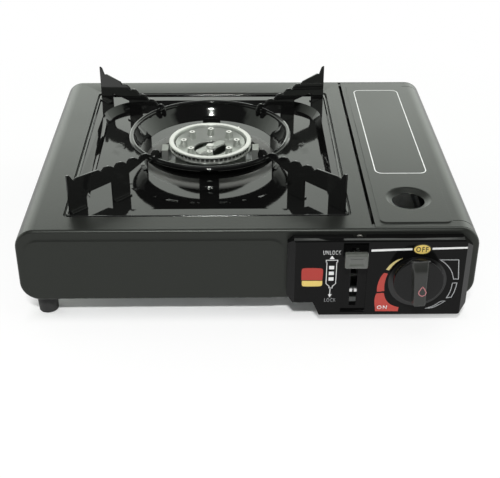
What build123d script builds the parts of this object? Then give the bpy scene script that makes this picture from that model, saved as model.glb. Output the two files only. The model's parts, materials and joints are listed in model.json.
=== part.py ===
from build123d import *
import os
from math import atan2, cos, degrees, hypot, radians, sin, tan

# Butane cassette stove: a wide flat casing with a burner in a drip pan on the left
# and a lidded bay for a lying gas cartridge on the right.
# Millimetres. +X right, -Y front (controls), +Z up. Z = 0 is the table under the feet,
# X = 0 and Y = 0 are the middle of the whole stove.

os.makedirs("parts", exist_ok=True)

# ---------------------------------------------------------------- driving sizes
# Casing
CASE_W = 343.0                 # width over both side walls
CASE_D = 284.0                 # front face to rear face
CASE_H = 61.0                  # bottom edge of the front panel to the top plate
CORNER_R = 15.0                # long rounded edges of the casing
SHEET = 0.8                    # casing sheet
GROUND = 18.0                  # bottom edge of the casing above the table
KNOB_REACH = 26.0              # knob grip in front of the front face
PANEL_DEPTH = 3.0              # depth of the pressed rim on the front and rear panels
PANEL_EDGE_R = 2.2             # soft edge of that rim
FLANGE = 13.5                  # turned-in bottom flange on the left
FLANGE_RIGHT = 0.8             # the same on the right, where the cartridge lies
SEAM_GAP = 2.5                 # gap between top plate and lid
CLEAR = 0.3                    # gap between parts that move past each other

FRONT_Y = (KNOB_REACH - CASE_D) / 2
BACK_Y = FRONT_Y + CASE_D
TOP_Z = GROUND + CASE_H
MID_Z = GROUND + CASE_H / 2
HALF_W = CASE_W / 2
SEAM_X = HALF_W - 80.2         # left edge of the cartridge bay

# Recess and drip pan
PAN_X = (SEAM_X - HALF_W) / 2 + 10.1    # burner centre
PAN_Y = (FRONT_Y + BACK_Y) / 2 - 3.5
RECESS_W = SEAM_X + HALF_W - 46.8
RECESS_D = CASE_D - 48.0
RECESS_R = 4.0
LEDGE_DROP, LEDGE_W = 2.4, 7.0
PAN_GAP = 2.0                  # pan flange to recess wall
PAN_R = 5.0
DISH_W, DISH_D, DISH_R = RECESS_W - 18.0, RECESS_D - 28.0, 38.0
DISH_DROP = 6.8                # pan flange down to the dish floor
DISH_TAPER = 35.0
WELL_R, WELL_SLOPE, WELL_DROP = 86.0, 8.0, 1.6
PAN_HOLE_R, LIP_W, LIP_H = 43.0, 3.0, 4.0

# Wind guard ring
GUARD_NECK_R = 56.0
GUARD_RIM_R = 67.8
GUARD_RIM_Z = 15.2             # rim top above the top plate
GUARD_BEAD_R = 2.2
GUARD_BEND_Z = -0.5            # where the neck starts to flare, from the top plate
SLOT_FROM, SLOT_TO = 8.0, 67.0 # air slots, degrees each side of front and rear
SLOT_H = 8.6

# Pan supports, measured along the diagonal from the outer tip
TIP_DX = RECESS_W / 2 - 4.0    # outer tip from the burner centre
TIP_DY = RECESS_D / 2 - 8.5
INNER_DX, INNER_DY = 43.0, 45.3
SUPPORT_T = 1.5
TIP_Z = 30.2                   # tip above the top plate
ARM_Z, ARM_END_Z = 25.4, 20.0  # plain edge and inner end above the top plate
TEETH = 5
TOOTH_PITCH = 12.6
TOOTH_H = 2.2
TEETH_START = 33.0
LEG_OUT_W = 17.0
LEG_IN_FROM, LEG_IN_TO = 42.0, 60.0
WINDOW_Z = 9.0
HOOK_FROM, HOOK_TO, HOOK_Z = 88.6, 93.4, 9.0   # tongue behind the wind guard's rim
FOOT_W = 4.0

# Burner
RING_R = 34.9
RING_Z = 7.0                   # rim top above the top plate
RING_H = 6.0
RING_IN_R = 30.4
RING_SLOTS = 54
RING_SLOT_W = 2.5
CUP_R = 30.0
CUP_H = 16.0
POSTS, POST_R, POST_CIRCLE_R = 8, 2.5, 22.3
RISER_R = 14.0
TUBE_R, TUBE_BORE_R, TUBE_Z = 9.0, 6.6, 28.5
BRACKET_HALF, BRACKET_W, BRACKET_T = 41.0, 12.0, 1.2

# Cartridge bay
CART_R, CART_L = 33.25, 185.0
CART_X, CART_Z = HALF_W - 40.0, 44.2
SEAT_Y = FRONT_Y + 45.0        # face that the cartridge collar meets
TROUGH_W, TROUGH_L, TROUGH_DROP = 46.0, CASE_D - 72.0, 8.0

# Lid
HINGE_X, HINGE_Z = HALF_W - 2.1, MID_Z - 0.5
PIN_R, PIN_FIT = 1.25, 0.05
KNUCKLE_END = 12.0             # hinge starts and ends this far from the casing's faces
LID_PANEL_RISE = 0.8
SIGHT_R, SIGHT_DISH_R, SIGHT_DROP = 12.5, 18.0, 2.4
SIGHT_X, SIGHT_Y = HALF_W - 47.0, FRONT_Y + 46.3
RELIEF_Y = 12.6                # relief cuts in the rounded edge, from the ends

# Controls
BEZEL_LEFT, BEZEL_RIGHT = HALF_W - 142.5, HALF_W - 6.0
BEZEL_TOP, BEZEL_BOTTOM = TOP_Z - 4.0, GROUND - 9.0
BEZEL_STEP_X, BEZEL_STEP_Z = HALF_W - 122.5, GROUND + 2.5
BEZEL_P = 10.0                 # how far the bezel stands proud
BEZEL_WALL = 2.0
BEVEL_SIDE, BEVEL_SIDE_P = 5.5, 6.0
BEVEL_EDGE = 1.2
LEVER_X = HALF_W - 92.8
CHANNEL_W, CHANNEL_DEPTH = 18.4, 2.6
SLIT_W, SLIT_LOW, SLIT_HIGH = 5.0, BEZEL_BOTTOM + 8.0, TOP_Z - 11.5
LEVER_T = 1.2
PIVOT_Y, PIVOT_Z, PIVOT_R = FRONT_Y + 40.0, MID_Z - 3.5, 2.0
TAB_Y, TAB_Z = FRONT_Y - 15.5, TOP_Z - 16.8    # lever handle at rest, the UNLOCK end
TAB_W, TAB_H, TAB_T = 17.2, 12.2, 6.0
DRIVE_L, DRIVE_R = 17.0, 2.0
LEVER_TRAVEL = 35.0            # degrees from UNLOCK to LOCK
KNOB_X, KNOB_Z, KNOB_R = HALF_W - 47.0, MID_Z - 2.0, 19.6
KNOB_RING_R, KNOB_RING_T = 21.4, 1.6
KNOB_DISC_T = 9.9
GRIP_TOP_W, GRIP_LOW_W, GRIP_TURN = 14.2, 9.6, 5.5
SPINDLE_R = 3.0

# Feet
FOOT_R, FOOT_TOP_R = 7.4, 8.2
FOOT_X, FOOT_IN_Y = HALF_W - 16.5, 16.0

# ---------------------------------------------------------------- derived planes
WRAP_FRONT = FRONT_Y + PANEL_DEPTH
WRAP_BACK = BACK_Y - PANEL_DEPTH
WRAP_L = WRAP_BACK - WRAP_FRONT
TRAY_T = SHEET
TRAY_Z = GROUND - TRAY_T       # underside of the tray floor
LEDGE_Z = TOP_Z - LEDGE_DROP
PAN_Z = LEDGE_Z + SHEET        # top of the pan flange
DISH_Z = PAN_Z - DISH_DROP
WELL_Z = DISH_Z - WELL_DROP
BEZEL_Y = FRONT_Y - BEZEL_P
LID_FROM = SEAM_X + SEAM_GAP


def wrap_ring():
    """Closed rounded section of the casing sheet, in the active XZ sketch."""
    with Locations((0, MID_Z)):
        RectangleRounded(CASE_W, CASE_H, CORNER_R)
        RectangleRounded(CASE_W - 2 * SHEET, CASE_H - 2 * SHEET, CORNER_R - SHEET, mode=Mode.SUBTRACT)


def cut_region(x0, x1, z0, z1):
    """Takes a rectangle out of the active XZ sketch."""
    with Locations(((x0 + x1) / 2, (z0 + z1) / 2)):
        Rectangle(x1 - x0, z1 - z0, mode=Mode.SUBTRACT)


ON_BASE = (Align.CENTER, Align.CENTER, Align.MIN)


def save(piece, name):
    piece.part.label = name
    export_step(piece.part, f"parts/{name}.step")


def polar(cx, cy, r, a):
    return (cx + r * cos(radians(a)), cy + r * sin(radians(a)))


def xz(y):
    """Sketch plane facing the front, at depth y. Extrusions run towards -Y."""
    return Plane.XZ.offset(-y)


# ================================================================= casing
with BuildPart() as base_tray:
    with BuildSketch(Plane.XY.offset(TRAY_Z)):
        with Locations((0, (WRAP_FRONT + WRAP_BACK) / 2)):
            RectangleRounded(2 * (HALF_W - CORNER_R + 1), WRAP_L - 1.0, 8)
    extrude(amount=TRAY_T)
    # trough under the lying cartridge
    trough_y = SEAT_Y + TROUGH_L / 2
    with BuildSketch(Plane.XY.offset(TRAY_Z)):
        with Locations((CART_X, trough_y)):
            RectangleRounded(TROUGH_W + 2 * TRAY_T, TROUGH_L + 2 * TRAY_T, 8 + TRAY_T)
    extrude(amount=-(TROUGH_DROP - TRAY_T), taper=12)
    with BuildSketch(Plane.XY.offset(GROUND)):
        with Locations((CART_X, trough_y)):
            RectangleRounded(TROUGH_W, TROUGH_L, 8)
    extrude(amount=-(TROUGH_DROP - TRAY_T), taper=12, mode=Mode.SUBTRACT)
    # stiffening walls along both sides, just inside the casing flanges
    wall_x = HALF_W - CORNER_R - FLANGE - CLEAR - TRAY_T / 2
    with BuildSketch(Plane.XY.offset(GROUND)):
        with Locations((-wall_x, 12)):
            Rectangle(TRAY_T, WRAP_L - 60)
    extrude(amount=8)
    # air slots beside the burner
    with BuildSketch(Plane.XY.offset(TRAY_Z)):
        with Locations((PAN_X, PAN_Y)):
            with GridLocations(180, 22, 2, 5):
                SlotOverall(36, 5)
    extrude(amount=TRAY_T, mode=Mode.SUBTRACT)
    # holes for the foot screws
    with BuildSketch(Plane.XY.offset(TRAY_Z)):
        with Locations((0, (FRONT_Y + BACK_Y) / 2)):
            with GridLocations(2 * FOOT_X, CASE_D - 2 * FOOT_IN_Y, 2, 2):
                Circle(2.2)
    extrude(amount=TRAY_T, mode=Mode.SUBTRACT)
save(base_tray, "base_tray")

with BuildPart() as top_casing:
    with BuildSketch(xz(WRAP_BACK)):
        wrap_ring()
        cut_region(SEAM_X, HALF_W + 1, GROUND - 1, TOP_Z + 1)
        cut_region(-HALF_W + CORNER_R + FLANGE, HALF_W, GROUND - 1, MID_Z)
    extrude(amount=WRAP_L)
    # turned-down edge along the cartridge bay
    with BuildSketch(xz(WRAP_BACK - 12)):
        with Locations((SEAM_X - SHEET / 2, TOP_Z - 5)):
            Rectangle(SHEET, 10)
    extrude(amount=WRAP_L - 24)
    # recess for the drip pan, with a ledge that carries the pan flange
    with BuildSketch(Plane.XY.offset(LEDGE_Z - SHEET)):
        with Locations((PAN_X, PAN_Y)):
            RectangleRounded(RECESS_W + 2 * SHEET, RECESS_D + 2 * SHEET, RECESS_R + SHEET)
    extrude(amount=LEDGE_DROP + SHEET)
    with BuildSketch(Plane.XY.offset(LEDGE_Z)):
        with Locations((PAN_X, PAN_Y)):
            RectangleRounded(RECESS_W, RECESS_D, RECESS_R)
    extrude(amount=LEDGE_DROP + SHEET, mode=Mode.SUBTRACT)
    with BuildSketch(Plane.XY.offset(LEDGE_Z - 2 * SHEET)):
        with Locations((PAN_X, PAN_Y)):
            RectangleRounded(RECESS_W - 2 * LEDGE_W, RECESS_D - 2 * LEDGE_W, RECESS_R + 8)
    extrude(amount=4 * SHEET, mode=Mode.SUBTRACT)
    # holes for the foot screws in the bottom flange
    for foot_y in (FRONT_Y + FOOT_IN_Y, BACK_Y - FOOT_IN_Y):
        with Locations((-FOOT_X, foot_y, GROUND)):
            Cylinder(2.2, 3, mode=Mode.SUBTRACT)
save(top_casing, "top_casing")

# five spans along the right edge, turn about on the body and on the lid
KNUCKLE_SPAN = (CASE_D - 2 * KNUCKLE_END) / 5
KNUCKLES = [
    (FRONT_Y + KNUCKLE_END + k * KNUCKLE_SPAN + 1, FRONT_Y + KNUCKLE_END + (k + 1) * KNUCKLE_SPAN - 1)
    for k in range(5)
]
KNUCKLES_BODY, KNUCKLES_LID = KNUCKLES[0::2], KNUCKLES[1::2]
KNUCKLE_R = PIN_R + PIN_FIT + SHEET


def knuckles(spans, wall_z0, wall_z1):
    """Rolled hinge knuckles around the pin, each with its strip of side wall."""
    for y0, y1 in spans:
        with BuildSketch(xz(y1)) as knuckle:
            with Locations((HINGE_X, HINGE_Z)):
                Circle(KNUCKLE_R)
            with Locations((HALF_W - SHEET / 2, (wall_z0 + wall_z1) / 2)):
                Rectangle(SHEET, wall_z1 - wall_z0)
            with Locations((HINGE_X, HINGE_Z)):
                Circle(PIN_R + PIN_FIT, mode=Mode.SUBTRACT)
        extrude(knuckle.sketch, amount=y1 - y0)


with BuildPart() as side_panel_right:
    with BuildSketch(xz(WRAP_BACK)):
        wrap_ring()
        cut_region(-HALF_W - 1, HALF_W - CORNER_R - FLANGE_RIGHT, GROUND - 1, TOP_Z + 1)
        cut_region(0, HALF_W + 1, HINGE_Z - KNUCKLE_R - CLEAR, TOP_Z + 1)
    extrude(amount=WRAP_L)
    knuckles(KNUCKLES_BODY, HINGE_Z - KNUCKLE_R - CLEAR - 0.5, HINGE_Z)
    for foot_y in (FRONT_Y + FOOT_IN_Y, BACK_Y - FOOT_IN_Y):
        with Locations((FOOT_X, foot_y, GROUND)):
            Cylinder(2.2, 3, mode=Mode.SUBTRACT)
save(side_panel_right, "side_panel_right")


def pressed_panel(face_y, out):
    """End panel: soft rim, thin face, and a wall that the casing wraps around.

    out is -1 for a panel that faces the front and 1 for one that faces the rear.
    """
    with BuildSketch(xz(face_y)) as rim:
        with Locations((0, MID_Z)):
            RectangleRounded(CASE_W, CASE_H, CORNER_R)
    extrude(rim.sketch, amount=out * PANEL_DEPTH)
    face = faces().sort_by(Axis.Y)[0 if out < 0 else -1]
    fillet(face.edges(), PANEL_EDGE_R)
    with BuildSketch(xz(face_y - out * SHEET)) as inside:
        with Locations((0, MID_Z)):
            RectangleRounded(CASE_W - 4 * SHEET, CASE_H - 4 * SHEET, CORNER_R - 2 * SHEET)
    extrude(inside.sketch, amount=out * PANEL_DEPTH, mode=Mode.SUBTRACT)
    with BuildSketch(xz(face_y - out * (PANEL_DEPTH - 0.4))) as wall:
        with Locations((0, MID_Z)):
            RectangleRounded(CASE_W - 2 * SHEET, CASE_H - 2 * SHEET, CORNER_R - SHEET)
            RectangleRounded(
                CASE_W - 4 * SHEET, CASE_H - 4 * SHEET, CORNER_R - 2 * SHEET, mode=Mode.SUBTRACT
            )
    extrude(wall.sketch, amount=out * 6.0)


def drill_panel(face_y, at_x):
    """Screw holes near the top edge of an end panel."""
    for screw_x in at_x:
        with Locations((screw_x, face_y, SCREW_Z)):
            Cylinder(1.1, 12, rotation=(90, 0, 0), mode=Mode.SUBTRACT)


SCREW_X, SCREW_X_LEFT, SCREW_Z = HALF_W - 89.5, -HALF_W + 60.0, TOP_Z - 6.3
RAISED_LEFT, RAISED_RIGHT, RAISED_TOP = -HALF_W + 6.3, BEZEL_LEFT - 1.5, TOP_Z - 7.5
RAISED_LOW, RAISED_P = GROUND + 1.6, 1.5
with BuildPart() as front_panel:
    pressed_panel(FRONT_Y, -1)
    # the rim ends at the left corner; from there the face runs down flat
    with Locations((0, FRONT_Y, (GROUND + RAISED_LOW) / 2)):
        Box(
            2 * (HALF_W - CORNER_R - FLANGE), 2 * PANEL_DEPTH, RAISED_LOW - GROUND,
            mode=Mode.SUBTRACT,
        )
    # raised field on the face
    with BuildSketch(xz(FRONT_Y)):
        with Locations(((RAISED_LEFT + RAISED_RIGHT) / 2, (RAISED_TOP + RAISED_LOW) / 2)):
            RectangleRounded(RAISED_RIGHT - RAISED_LEFT, RAISED_TOP - RAISED_LOW, 11)
    extrude(amount=RAISED_P, taper=30)
    with BuildSketch(xz(FRONT_Y + SHEET)):
        with Locations(((RAISED_LEFT + RAISED_RIGHT) / 2, (RAISED_TOP + RAISED_LOW) / 2)):
            RectangleRounded(RAISED_RIGHT - RAISED_LEFT - 4, RAISED_TOP - RAISED_LOW - 4, 9)
    extrude(amount=RAISED_P, mode=Mode.SUBTRACT)
    # openings behind the bezel for the lever and the knob spindle
    with BuildSketch(xz(FRONT_Y + 2)):
        with Locations((LEVER_X, (SLIT_LOW + SLIT_HIGH) / 2 + 2.5)):
            Rectangle(SLIT_W + 3, SLIT_HIGH - SLIT_LOW - 2)
        with Locations((KNOB_X, KNOB_Z)):
            Circle(SPINDLE_R + 4)
    extrude(amount=4, mode=Mode.SUBTRACT)
    drill_panel(FRONT_Y, (SCREW_X,))
save(front_panel, "front_panel")

with BuildPart() as rear_panel:
    pressed_panel(BACK_Y, 1)
    # vent slots, behind the bay and behind the burner
    with BuildSketch(xz(BACK_Y + 1)):
        for slot_x, count in ((CART_X, 7), (PAN_X, 11)):
            with Locations((slot_x, MID_Z)):
                with GridLocations(8, 1, count, 1):
                    SlotOverall(26, 3.2, rotation=90)
    extrude(amount=4, mode=Mode.SUBTRACT)
    drill_panel(BACK_Y, (SCREW_X, SCREW_X_LEFT))
save(rear_panel, "rear_panel")

# screws that hold the end panels to the casing
with BuildPart() as panel_screws:
    for face_y, out, screw_x in (
        (FRONT_Y, -1, SCREW_X),
        (BACK_Y, 1, SCREW_X),
        (BACK_Y, 1, SCREW_X_LEFT),
    ):
        with BuildSketch(xz(face_y)):
            with Locations((screw_x, SCREW_Z)):
                Circle(2.2)
        extrude(amount=-out * 1.1, taper=20)
        with BuildSketch(xz(face_y)):
            with Locations((screw_x, SCREW_Z)):
                Circle(1.1)
        extrude(amount=out * 5.0)
save(panel_screws, "panel_screws")

# heat shield wall between burner and cartridge
SHIELD_X = SEAM_X - 2 * SHEET
with BuildPart() as partition_wall:
    with BuildSketch(Plane.YZ.offset(SHIELD_X)):
        with Locations(((WRAP_FRONT + WRAP_BACK) / 2, (GROUND + TOP_Z - 2.2) / 2)):
            Rectangle(WRAP_L - 16, TOP_Z - 2.2 - GROUND)
        with Locations((PIVOT_Y, PIVOT_Z + DRIVE_L - 0.8)):
            SlotOverall(26, 9, mode=Mode.SUBTRACT)
        with Locations((FRONT_Y + 67.0, TUBE_Z)):
            Circle(6.5, mode=Mode.SUBTRACT)
        with Locations((BACK_Y - 95, MID_Z + 8)):
            with GridLocations(1, 7, 1, 4):
                SlotOverall(80, 3, mode=Mode.SUBTRACT)
    extrude(amount=SHEET)
    with BuildSketch(Plane.XY.offset(GROUND)):
        with Locations((SHIELD_X - 4, 22)):
            Rectangle(8, WRAP_L - 84)
    extrude(amount=SHEET)
save(partition_wall, "partition_wall")

REFLECTOR_W, REFLECTOR_D = RECESS_W * 0.56, RECESS_D * 0.64
with BuildPart() as heat_reflector:
    with BuildSketch(Plane.XY.offset(GROUND)):
        with Locations((PAN_X, PAN_Y)):
            RectangleRounded(REFLECTOR_W, REFLECTOR_D, 10)
    extrude(amount=0.6)
    with BuildSketch(Plane.XY.offset(GROUND + 0.6)):
        with Locations((PAN_X, PAN_Y)):
            with GridLocations(REFLECTOR_W - 20, 1, 2, 1):
                SlotOverall(REFLECTOR_D - 40, 4, rotation=90)
    extrude(amount=0.8, taper=30)
save(heat_reflector, "heat_reflector")

with BuildPart() as rubber_feet:
    for sx in (-1, 1):
        for fy in (FRONT_Y + FOOT_IN_Y, BACK_Y - FOOT_IN_Y):
            with BuildSketch(Plane.XY.offset(TRAY_Z)):
                with Locations((sx * FOOT_X, fy)):
                    Circle(FOOT_TOP_R)
            extrude(amount=-TRAY_Z, taper=degrees(atan2(FOOT_TOP_R - FOOT_R, TRAY_Z)))
            with Locations((sx * FOOT_X, fy, 0)):
                Cylinder(3.6, 12.0, align=ON_BASE, mode=Mode.SUBTRACT)
                Cylinder(1.9, TRAY_Z, align=ON_BASE, mode=Mode.SUBTRACT)
    fillet(edges().filter_by(GeomType.CIRCLE).group_by(Axis.Z)[0].group_by(SortBy.RADIUS)[-1], 1.2)
save(rubber_feet, "rubber_feet")

with BuildPart() as foot_screws:
    for sx in (-1, 1):
        for fy in (FRONT_Y + FOOT_IN_Y, BACK_Y - FOOT_IN_Y):
            with Locations((sx * FOOT_X, fy, 0)):
                with Locations((0, 0, 9.6)):
                    Cylinder(3.2, 2.4, align=ON_BASE)
                with Locations((0, 0, 12.0)):
                    Cylinder(1.8, 9.0, align=ON_BASE)
save(foot_screws, "foot_screws")

# ================================================================= drip pan
PAN_W, PAN_D = RECESS_W - 2 * PAN_GAP, RECESS_D - 2 * PAN_GAP
SLOPE_IN = DISH_DROP * tan(radians(DISH_TAPER))


def dish(grow, top, drop, mode):
    """Tapered dish of the pan, grown by one sheet for its underside."""
    with BuildSketch(Plane.XY.offset(top)) as mouth:
        with Locations((PAN_X, PAN_Y)):
            RectangleRounded(DISH_W + 2 * grow, DISH_D + 2 * grow, DISH_R + grow)
    extrude(mouth.sketch, amount=-drop, taper=DISH_TAPER, mode=mode)


with BuildPart() as drip_pan:
    with BuildSketch(Plane.XY.offset(LEDGE_Z)):
        with Locations((PAN_X, PAN_Y)):
            RectangleRounded(PAN_W, PAN_D, PAN_R)
    extrude(amount=SHEET)
    dish(SHEET, LEDGE_Z, DISH_DROP, Mode.ADD)
    dish(0, PAN_Z, DISH_DROP, Mode.SUBTRACT)
    with Locations((PAN_X, PAN_Y, DISH_Z)):
        Cylinder(WELL_R, 3 * SHEET, mode=Mode.SUBTRACT)
    # round well with the turned-up lip around the burner
    with BuildSketch(Plane.XZ.offset(-PAN_Y)):
        with BuildLine():
            Polyline(
                (PAN_X + WELL_R, DISH_Z),
                (PAN_X + WELL_R - WELL_SLOPE, WELL_Z),
                (PAN_X + PAN_HOLE_R + LIP_W, WELL_Z),
                (PAN_X + PAN_HOLE_R + SHEET, WELL_Z + LIP_H),
                (PAN_X + PAN_HOLE_R, WELL_Z + LIP_H),
                (PAN_X + PAN_HOLE_R, WELL_Z + LIP_H - SHEET),
                (PAN_X + PAN_HOLE_R + LIP_W - SHEET, WELL_Z - SHEET),
                (PAN_X + WELL_R - WELL_SLOPE, WELL_Z - SHEET),
                (PAN_X + WELL_R, DISH_Z - SHEET),
                close=True,
            )
        make_face()
    revolve(axis=Axis((PAN_X, PAN_Y, 0), (0, 0, 1)))
save(drip_pan, "drip_pan")

GUARD_TOP = TOP_Z + GUARD_RIM_Z
BEAD_X, BEAD_Z = GUARD_RIM_R - GUARD_BEAD_R, GUARD_TOP - GUARD_BEAD_R
BEND_Z = TOP_Z + GUARD_BEND_Z
with BuildPart() as wind_guard_ring:
    with BuildSketch(Plane.XZ.offset(-PAN_Y)):
        with BuildLine():
            Polyline(
                (PAN_X + GUARD_NECK_R + 4.0, WELL_Z),
                (PAN_X + GUARD_NECK_R + 4.0, WELL_Z + SHEET),
                (PAN_X + GUARD_NECK_R + SHEET, WELL_Z + SHEET),
                (PAN_X + GUARD_NECK_R + SHEET + 0.3, BEND_Z),
                (PAN_X + BEAD_X, BEAD_Z - 0.6),
                (PAN_X + BEAD_X - SHEET, BEAD_Z),
                (PAN_X + GUARD_NECK_R, BEND_Z + 0.3),
                (PAN_X + GUARD_NECK_R, WELL_Z),
                close=True,
            )
        make_face()
        with Locations((PAN_X + BEAD_X, BEAD_Z)):
            RegularPolygon(GUARD_BEAD_R, 10, rotation=18)
    revolve(axis=Axis((PAN_X, PAN_Y, 0), (0, 0, 1)))
    # four long air slots in the neck
    with BuildSketch(Plane.XY.offset(WELL_Z)):
        for start in (-90 + SLOT_FROM, -90 - SLOT_TO, 90 + SLOT_FROM, 90 - SLOT_TO):
            span = SLOT_TO - SLOT_FROM
            reach = GUARD_NECK_R + 6
            far = reach / cos(radians(span / 2)) + 2
            with BuildLine():
                Polyline(
                    (PAN_X, PAN_Y),
                    polar(PAN_X, PAN_Y, far, start),
                    polar(PAN_X, PAN_Y, far * 1.05, start + span / 2),
                    polar(PAN_X, PAN_Y, far, start + span),
                    close=True,
                )
            make_face()
    extrude(amount=SHEET + SLOT_H, mode=Mode.SUBTRACT)
save(wind_guard_ring, "wind_guard_ring")

# Serrated supports: one blank, turned to each of the four corners
ARM_L = hypot(TIP_DX - INNER_DX, TIP_DY - INNER_DY)
FOOT_T = 1.2


def support_outline():
    """Side outline of one support, u along the arm from the tip, v height."""
    top = TOP_Z
    slope = (ARM_Z - 0.9 - ARM_END_Z) / (ARM_L - TEETH_START)
    with BuildLine() as outline:
        Polyline((0, PAN_Z), (0, top + TIP_Z))
        Line((0, top + TIP_Z), (2.6, top + TIP_Z - 0.6))
        Line((2.6, top + TIP_Z - 0.6), (6.0, top + ARM_Z - 1.2))
        Line((6.0, top + ARM_Z - 1.2), (9.5, top + ARM_Z))
        Line((9.5, top + ARM_Z), (TEETH_START - 3, top + ARM_Z - 1.4))
        at = (TEETH_START - 3, top + ARM_Z - 1.4)
        for k in range(TEETH):
            s = TEETH_START + k * TOOTH_PITCH
            z = top + ARM_Z - 1.6 - TOOTH_H - slope * (s - TEETH_START)
            low = (s, z)
            rise = (s + 2.6, z + TOOTH_H * 0.9)
            crest = (s + 6.5, z + TOOTH_H * 0.95)
            nxt = (min(s + TOOTH_PITCH - 1.4, HOOK_TO - 0.8), z - slope * TOOTH_PITCH + 0.5)
            Line(at, low)
            Line(low, rise)
            ThreePointArc(rise, crest, nxt)
            at = nxt
        over_rim = top + GUARD_RIM_Z + 0.3
        Polyline(
            at,
            (HOOK_TO, at[1] - 1.4),
            (HOOK_TO, top + HOOK_Z + 1.5),
            (HOOK_TO - 1.2, top + HOOK_Z),
            (HOOK_FROM, top + HOOK_Z + 0.8),
            (HOOK_FROM, over_rim),
            (78, over_rim),
        )
        Line((78, over_rim), (LEG_IN_TO, top + WINDOW_Z + 1))
        Line((LEG_IN_TO, top + WINDOW_Z + 1), (LEG_IN_TO, DISH_Z))
        Line((LEG_IN_TO, DISH_Z), (LEG_IN_FROM, DISH_Z))
        Line((LEG_IN_FROM, DISH_Z), (LEG_IN_FROM, top + WINDOW_Z))
        Line((LEG_IN_FROM, top + WINDOW_Z), (LEG_OUT_W + 2, top + WINDOW_Z))
        Line((LEG_OUT_W + 2, top + WINDOW_Z), (LEG_OUT_W, top + WINDOW_Z - 2))
        Line((LEG_OUT_W, top + WINDOW_Z - 2), (LEG_OUT_W, PAN_Z))
        Line((LEG_OUT_W, PAN_Z), (0, PAN_Z))
    make_face(outline.edges())


for name, sx, sy in (
    ("front_left", -1, -1),
    ("front_right", 1, -1),
    ("rear_right", 1, 1),
    ("rear_left", -1, 1),
):
    tip = (PAN_X + sx * TIP_DX, PAN_Y + sy * TIP_DY, 0)
    inward = (-sx * (TIP_DX - INNER_DX), -sy * (TIP_DY - INNER_DY), 0)
    blade = Plane(origin=tip, x_dir=inward, z_dir=Vector(inward).cross(Vector(0, 0, 1)))
    with BuildPart() as pan_support:
        with BuildSketch(blade):
            support_outline()
        extrude(amount=SUPPORT_T / 2, both=True)
        # turned feet, welded to the pan
        side = -1
        for u0, u1, z in ((1.0, LEG_OUT_W - 2, PAN_Z), (LEG_IN_FROM + 1, LEG_IN_TO - 1, DISH_Z)):
            flat = Plane(origin=(tip[0], tip[1], z), x_dir=inward, z_dir=(0, 0, 1))
            wide = FOOT_W
            with BuildSketch(flat):
                with Locations(((u0 + u1) / 2, side * (wide / 2))):
                    Rectangle(u1 - u0, wide)
            extrude(amount=FOOT_T)
    save(pan_support, f"pan_support_{name}")

# ================================================================= burner
RING_TOP = TOP_Z + RING_Z
RING_BASE = RING_TOP - RING_H
with BuildPart() as burner_cup:
    with BuildSketch(Plane.XZ.offset(-PAN_Y)):
        with BuildLine():
            Polyline(
                (PAN_X + CUP_R, RING_BASE),
                (PAN_X + CUP_R, RING_BASE - CUP_H + 3),
                (PAN_X + RISER_R + 2, RING_BASE - CUP_H - 5),
                (PAN_X + RISER_R + 2, RING_BASE - CUP_H - 11),
                (PAN_X + RISER_R + CLEAR / 3, RING_BASE - CUP_H - 11),
                (PAN_X + RISER_R + CLEAR / 3, RING_BASE - CUP_H - 4),
                (PAN_X + CUP_R - 2, RING_BASE - CUP_H + 4),
                (PAN_X + CUP_R - 2, RING_BASE),
                close=True,
            )
        make_face()
    revolve(axis=Axis((PAN_X, PAN_Y, 0), (0, 0, 1)))
save(burner_cup, "burner_cup")

with BuildPart() as burner_ring:
    with BuildSketch(Plane.XZ.offset(-PAN_Y)):
        with BuildLine():
            Polyline(
                (PAN_X + RING_R - 0.4, RING_BASE),
                (PAN_X + RING_R - 0.4, RING_BASE + 0.9),
                (PAN_X + RING_R - 1.8, RING_BASE + 1.2),
                (PAN_X + RING_R - 1.8, RING_TOP - 1.6),
                (PAN_X + RING_R, RING_TOP - 1.3),
                (PAN_X + RING_R, RING_TOP - 0.6),
                (PAN_X + RING_R - 0.6, RING_TOP),
                (PAN_X + RING_IN_R + 0.6, RING_TOP),
                (PAN_X + RING_IN_R, RING_TOP - 0.8),
                (PAN_X + RING_IN_R - 0.6, RING_BASE + 1.2),
                (PAN_X + CUP_R - 2, RING_BASE),
                close=True,
            )
        make_face()
    revolve(axis=Axis((PAN_X, PAN_Y, 0), (0, 0, 1)))
    # flame slots
    with BuildSketch(Plane.XY.offset(RING_BASE + 1.2)):
        with Locations((PAN_X, PAN_Y)):
            with PolarLocations(RING_R, RING_SLOTS):
                Rectangle(4.4, RING_SLOT_W)
    extrude(amount=RING_H - 2.8, mode=Mode.SUBTRACT)
save(burner_ring, "burner_ring")

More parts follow.
